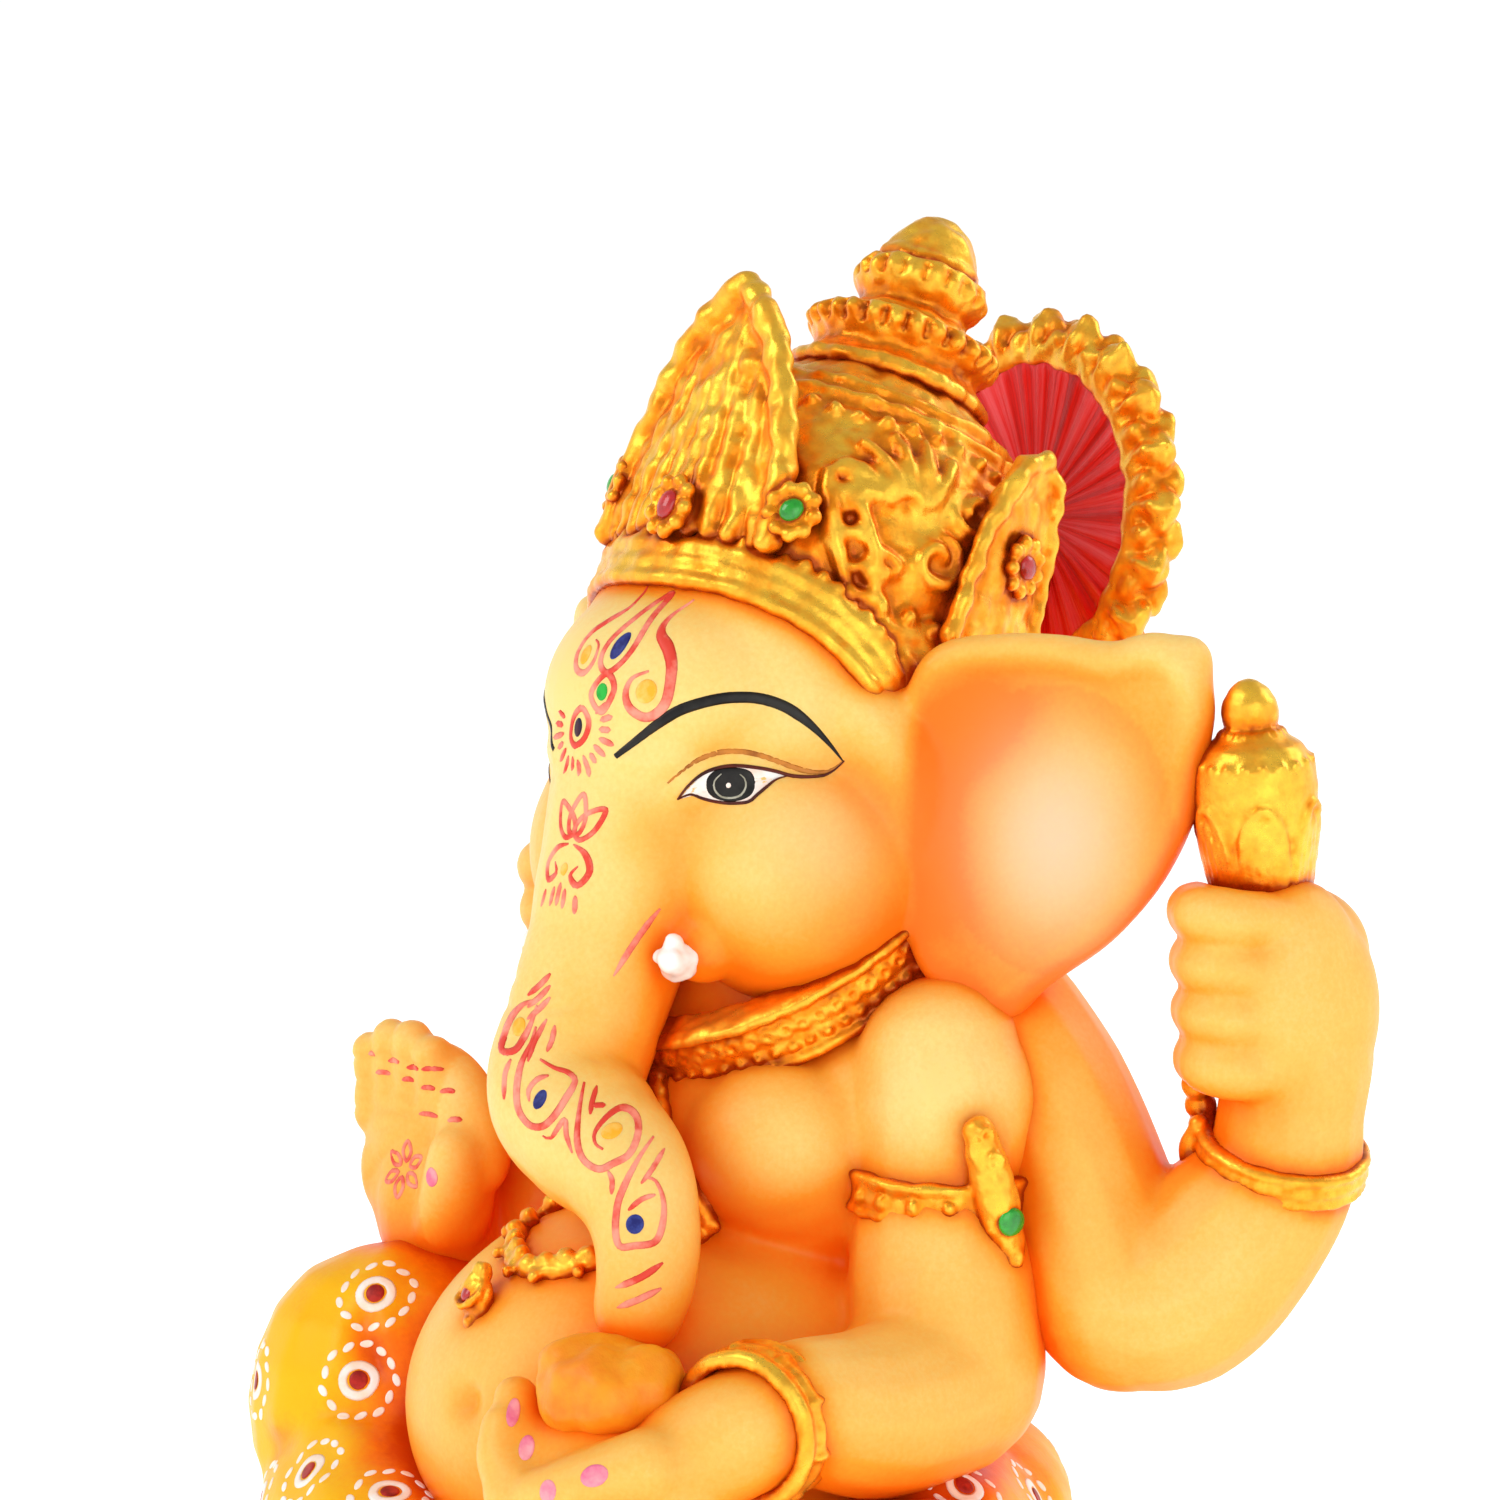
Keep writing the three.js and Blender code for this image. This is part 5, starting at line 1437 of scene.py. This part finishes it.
bud = turned_on(brow_face, 1.4, 116.6, -4)
for lean in (-42, 0, 42):
    petal = turned_on(bud, 0, 0.6, lean)
    reds.stroke(petal, [(0, 5.4), (1.25, 2.9), (0.8, 0.8), (-0.8, 0.8), (-1.25, 2.9)], 0.5, closed=True)
for s in (1, -1):
    reds.stroke(bud, [(s * 0.4, 0), (s * 2.4, -0.8), (s * 3.6, -2.8), (s * 2.6, -4.6), (s * 1.2, -3.6),
                      (s * 2.0, -2.4)], 0.6)
    for near, far in (((0.9, -5.2), (1.1, -7.6)), ((2.6, -5.8), (3.0, -8.0))):
        reds.stroke(bud, [(s * near[0], near[1]), (s * far[0], far[1])], 0.5)
yellows.dot(bud, 0, -3.0, 0.55, 0.8)
reds.stroke(bud, [(0, -4.6), (0, -7.4)], 0.5)
for cheek in (left_cheek, cheek_guide(head, -1)):
    reds.stroke(cheek, [(-8.4, -14.9), (-10.0, -16.9), (-11.9, -19.6), (-14.0, -23.0)], 0.55, 0.3, tail=0.2)
TRUNK_LEAVES = (
    ((-25.4, -29.1), yellows, (0.8, 1.2, -18), (
        ((2.4, 3.2), (0.6, 2.7), (-0.9, 1.2), (-1.9, -1.2), (-2.1, -2.9), (-0.4, -2.7), (0.9, -0.8),
         (1.8, 1.3), (2.2, 2.6)),
        ((3.4, 1.0), (2.0, -1.6), (1.2, -4.0)), ((-0.9, -3.8), (-1.6, -5.6), (-1.7, -8.6)))),
    ((-22.6, -37.4), blues, (0.7, 1.3, -28), (
        ((-0.7, 8.4), (-1.2, 6.6), (-2.4, 4.0), (-2.9, 1.0), (-2.6, -1.4), (-1.3, -3.0), (0.3, -3.1),
         (1.7, -1.9), (3.1, 0.2), (4.2, 2.2), (3.3, 3.2), (1.6, 3.7), (-0.1, 4.6)),
        ((-1.3, -0.3), (-1.4, 1.0), (-0.4, 2.3), (1.0, 2.8)), ((1.6, 8.6), (1.3, 6.9), (0.7, 5.5)),
        ((0.4, -4.2), (1.4, -4.4), (3.0, -2.2), (3.3, -4.0), (4.0, -6.0)))),
    ((-13.9, -40.7), yellows, (1.4, 0.9, 25), (
        ((-3.4, 5.4), (-3.9, 2.4), (-4.1, -1.2), (-3.3, -3.4), (-1.5, -4.4), (0.2, -3.7), (2.1, -2.6),
         (3.1, -0.3), (2.8, 1.7), (1.2, 2.6), (-0.6, 1.6), (-2.0, -0.2), (-1.9, -1.5), (-1.0, -2.1)),
        ((-1.9, 5.0), (-2.4, 3.2), (-2.6, 1.8)), ((-2.3, 2.8), (-0.8, 2.9)))),
    ((-11.1, -51.4), blues, (1.1, 1.2, -20), (
        ((2.1, 10.0), (0.4, 7.6), (-1.0, 5.0), (-2.0, 2.4), (-2.3, -0.6), (-1.8, -2.6), (0, -2.5),
         (2.4, -2.0), (3.3, 0.3), (3.3, 2.9), (2.4, 5.0), (1.2, 5.4)),
        ((3.4, 8.6), (1.9, 6.2), (0.7, 4.7)), ((-0.8, 1.6), (0.8, 2.9), (2.4, 3.4)),
        ((-3.2, 6.1), (-2.7, 5.0), (-2.8, 3.4)))),
)
for (u, v), centre, (wide, tall, turn), strokes in TRUNK_LEAVES:
    leaf = turned_on(left_cheek, u, v, 0)
    for n, line in enumerate(strokes):
        reds.stroke(leaf, line, 0.62 if n == 0 else 0.46, 0.35)
    centre.dot(leaf, 0, 0, wide, tall, turn)
for v in (-24.6, -26.0, -27.4):
    reds.stroke(left_cheek, [(-24.4, v - 0.8), (-22.8, v + 0.6), (-21.6, v + 1.9)], 0.5, 0.3)
for dash in (((-13.4, -58.9), (-10.4, -57.6), (-7.8, -55.9)),
             ((-13.2, -61.2), (-10.5, -60.1), (-8.0, -58.9))):
    reds.stroke(left_cheek, dash, 0.6, 0.2, tail=0.3)

# ---------------------------------------------------------------- palm, nails and feet painting
# The raised palm is touched with dashes across its fingers and one small flower, and
# every nail is a drop of pink.
nail_pink = brushed_paint("nail_pink", (1.0, 0.38, 0.42), (0.86, 0.16, 0.30), 2.0)
pinks = Pot()
palm = stencil(body)
for x, z, half in ((-52.0, 84.2, 0.9), (-47.3, 83.8, 1.4), (-43.0, 83.4, 1.5), (-39.6, 83.6, 1.3),
                   (-49.7, 82.0, 1.4),
                   (-44.3, 81.7, 1.1), (-40.1, 81.1, 1.2), (-36.9, 81.0, 1.1), (-39.8, 77.7, 2.0),
                   (-34.8, 77.6, 1.0)):
    reds.stroke(palm, [(x - half, z - 0.15), (x, z + 0.1), (x + half, z)], 0.5, 0.4)
for k in range(6):
    petal = turned_on(palm, -43.0, 70.4, 60 * k)
    reds.stroke(petal, [(0, 1.0), (0.7, 2.2), (0, 3.6), (-0.7, 2.2)], 0.42, closed=True)
pinks.dot(palm, -34.8, 70.6, 1.2, 1.3)
hand_side = cheek_guide(body)
for u, v, wide, tall, turn in ((-25.3, -73.3, 0.8, 1.6, -8), (-23.6, -77.0, 0.95, 1.4, -14),
                               (-20.8, -80.9, 1.0, 1.4, -10), (-15.4, -78.8, 1.75, 1.25, 24)):
    pinks.dot(hand_side, u, v, wide, tall, turn)
for foot, side, x0, tips in (("right", 1, 25.2, -52.9), ("left", -1, -19.6, -44.4)):
    toes = stencil(feet[foot], (0, 0, 0), (0, 1, 0), (0, 0, 1), (side, 0, 0))
    for i in range(4):
        pinks.dot(toes, tips + 2.25 * i, 21.0, 0.75, 0.9)
for pot, name, paint in ((reds, "red_painting", red_line), (blues, "blue_painting", blue_dot),
                         (yellows, "yellow_painting", yellow_dot), (greens, "green_painting", green_dot),
                         (darks, "dark_painting", dark_dot), (pinks, "nails", nail_pink)):
    pot.dry(name, "skin", paint)

# ---------------------------------------------------------------- wrap flowers
# The wrap is scattered with ring flowers: a dark red eye in a cream ring, and a wider
# ring of cream dabs round it.
cream_paint = brushed_paint("cream_dab", (1.0, 0.80, 0.62), (1.0, 0.94, 0.88), 2.0)
eye_red = brushed_paint("flower_red", (0.50, 0.02, 0.01), (0.28, 0.006, 0.004), 1.0)
creams, centres = Pot(), Pot()
legs_search = all_round([legs])
FLOWERS = ((-36.3, -36.4, 56.4), (-33.1, -41.4, 46.4), (-31.2, -50.6, 36.5), (-52.2, -43.8, 43.6),
           (-16, -49, 35.6),
           (-58, -14, 50), (-61, -26, 34), (-45, -50, 30), (-50, -6, 56), (-40, 6, 50), (-50, -42, 24),
           (57, -16, 34), (52, -32, 30), (40, -40, 32), (44, -8, 42),
           (28, -46, 28), (58, -24, 24), (40, 14, 38), (-18, 36, 36), (4, 37, 30), (22, 34, 36),
           (-34, 26, 30), (-50, 8, 34))
for n, spot in enumerate(FLOWERS):
    middle, normal, _, _ = legs_search.find_nearest(Vector(spot) * MM)
    across = Vector((0, 0, 1)).cross(normal).normalized()
    up = normal.cross(across)

    def flower(u, v, middle=middle, across=across, up=up, normal=normal):
        start = middle + (across * u + up * v + normal * 12) * MM
        spot, away, _, _ = legs_search.ray_cast(start, -normal, 0.03)
        return None if spot is None else (spot / MM, away)

    creams.stroke(flower, [(2.1 * math.cos(k), 2.0 * math.sin(k)) for k in np.linspace(0, 2 * math.pi,
                                                                                       9)[:-1]], 0.85,
                                                                                       closed=True)
    centres.dot(flower, 0, 0, 1.25, 1.3, 20)
    for k in range(13):
        way = 2 * math.pi * k / 13 + n
        reach = 4.6 + 0.3 * (k % 2)
        creams.dot(flower, reach * math.cos(way), reach * math.sin(way), 0.9, 0.5,
                   math.degrees(way) + 90 + 12 * (k % 3))
creams.dry("wrap_flower_dabs", "cloth", cream_paint)
centres.dry("wrap_flower_eyes", "cloth", eye_red)

# ---------------------------------------------------------------- floor, lights and camera
# A pale floor without an edge, three large soft lamps, and a white surround that is
# dimmer overhead so that the gold has something to reflect.
bpy.ops.object.select_all(action="DESELECT")
bpy.ops.mesh.primitive_plane_add(size=8, location=(0, 0, -0.0002))
floor = bpy.context.object
floor.name = "floor"
white, tree, shader = coat_of("pale_floor", Roughness=0.8, Emission_Color=(1, 1, 1, 1),
                              Emission_Strength=0.62)
dress(tree, shader, ramp(tree, mottle(tree, 60, 2), (0.0, (0.9, 0.9, 0.9)), (1.0, (0.93, 0.93, 0.93))))
floor.data.materials.append(white)

world = bpy.data.worlds.new("studio")
bpy.context.scene.world = world
world.use_nodes = True
tree = world.node_tree
way = node(tree, "TexCoord", {})
up = node(tree, "SeparateXYZ", {"Vector": way.outputs["Generated"]})
sky = ramp(tree, up.outputs["Z"], (0.0, (1.0, 1.0, 1.0)), (0.22, (1.0, 1.0, 1.0)), (0.6, (0.42, 0.42, 0.44)))
tree.links.new(sky, tree.nodes["Background"].inputs["Color"])
tree.nodes["Background"].inputs["Strength"].default_value = 1.05

BODY_MIDDLE = Vector((0, -5, 110)) * MM
for name, spot, size, power in (("key", (-0.25, -0.75, 0.75), 0.5, 2.6),
                                ("fill", (0.85, -0.35, 0.35), 0.6, 1.2), ("back", (0.3, 0.8, 0.7), 0.5, 2.0)):
    lamp = bpy.data.lights.new(name, "AREA")
    lamp.size = size
    lamp.energy = power
    light = bpy.data.objects.new(name, lamp)
    bpy.context.collection.objects.link(light)
    light.location = spot
    light.rotation_euler = (BODY_MIDDLE - Vector(spot)).to_track_quat("-Z", "Y").to_euler()

camera = bpy.data.objects.new("camera", bpy.data.cameras.new("camera"))
bpy.context.collection.objects.link(camera)
camera.data.sensor_width = 36
camera.data.lens = 124.8
aim = Vector((-2.314, -2.758, 126.0)) * MM
camera.location = aim + Vector((0.76313, -0.64034, 0.08716)).normalized() * 0.65
camera.rotation_euler = (aim - camera.location).to_track_quat("-Z", "Y").to_euler()
camera.data.clip_start, camera.data.clip_end = 0.01, 20
bpy.context.scene.camera = camera
bpy.context.scene.view_settings.view_transform = "Standard"

bpy.context.view_layer.update()
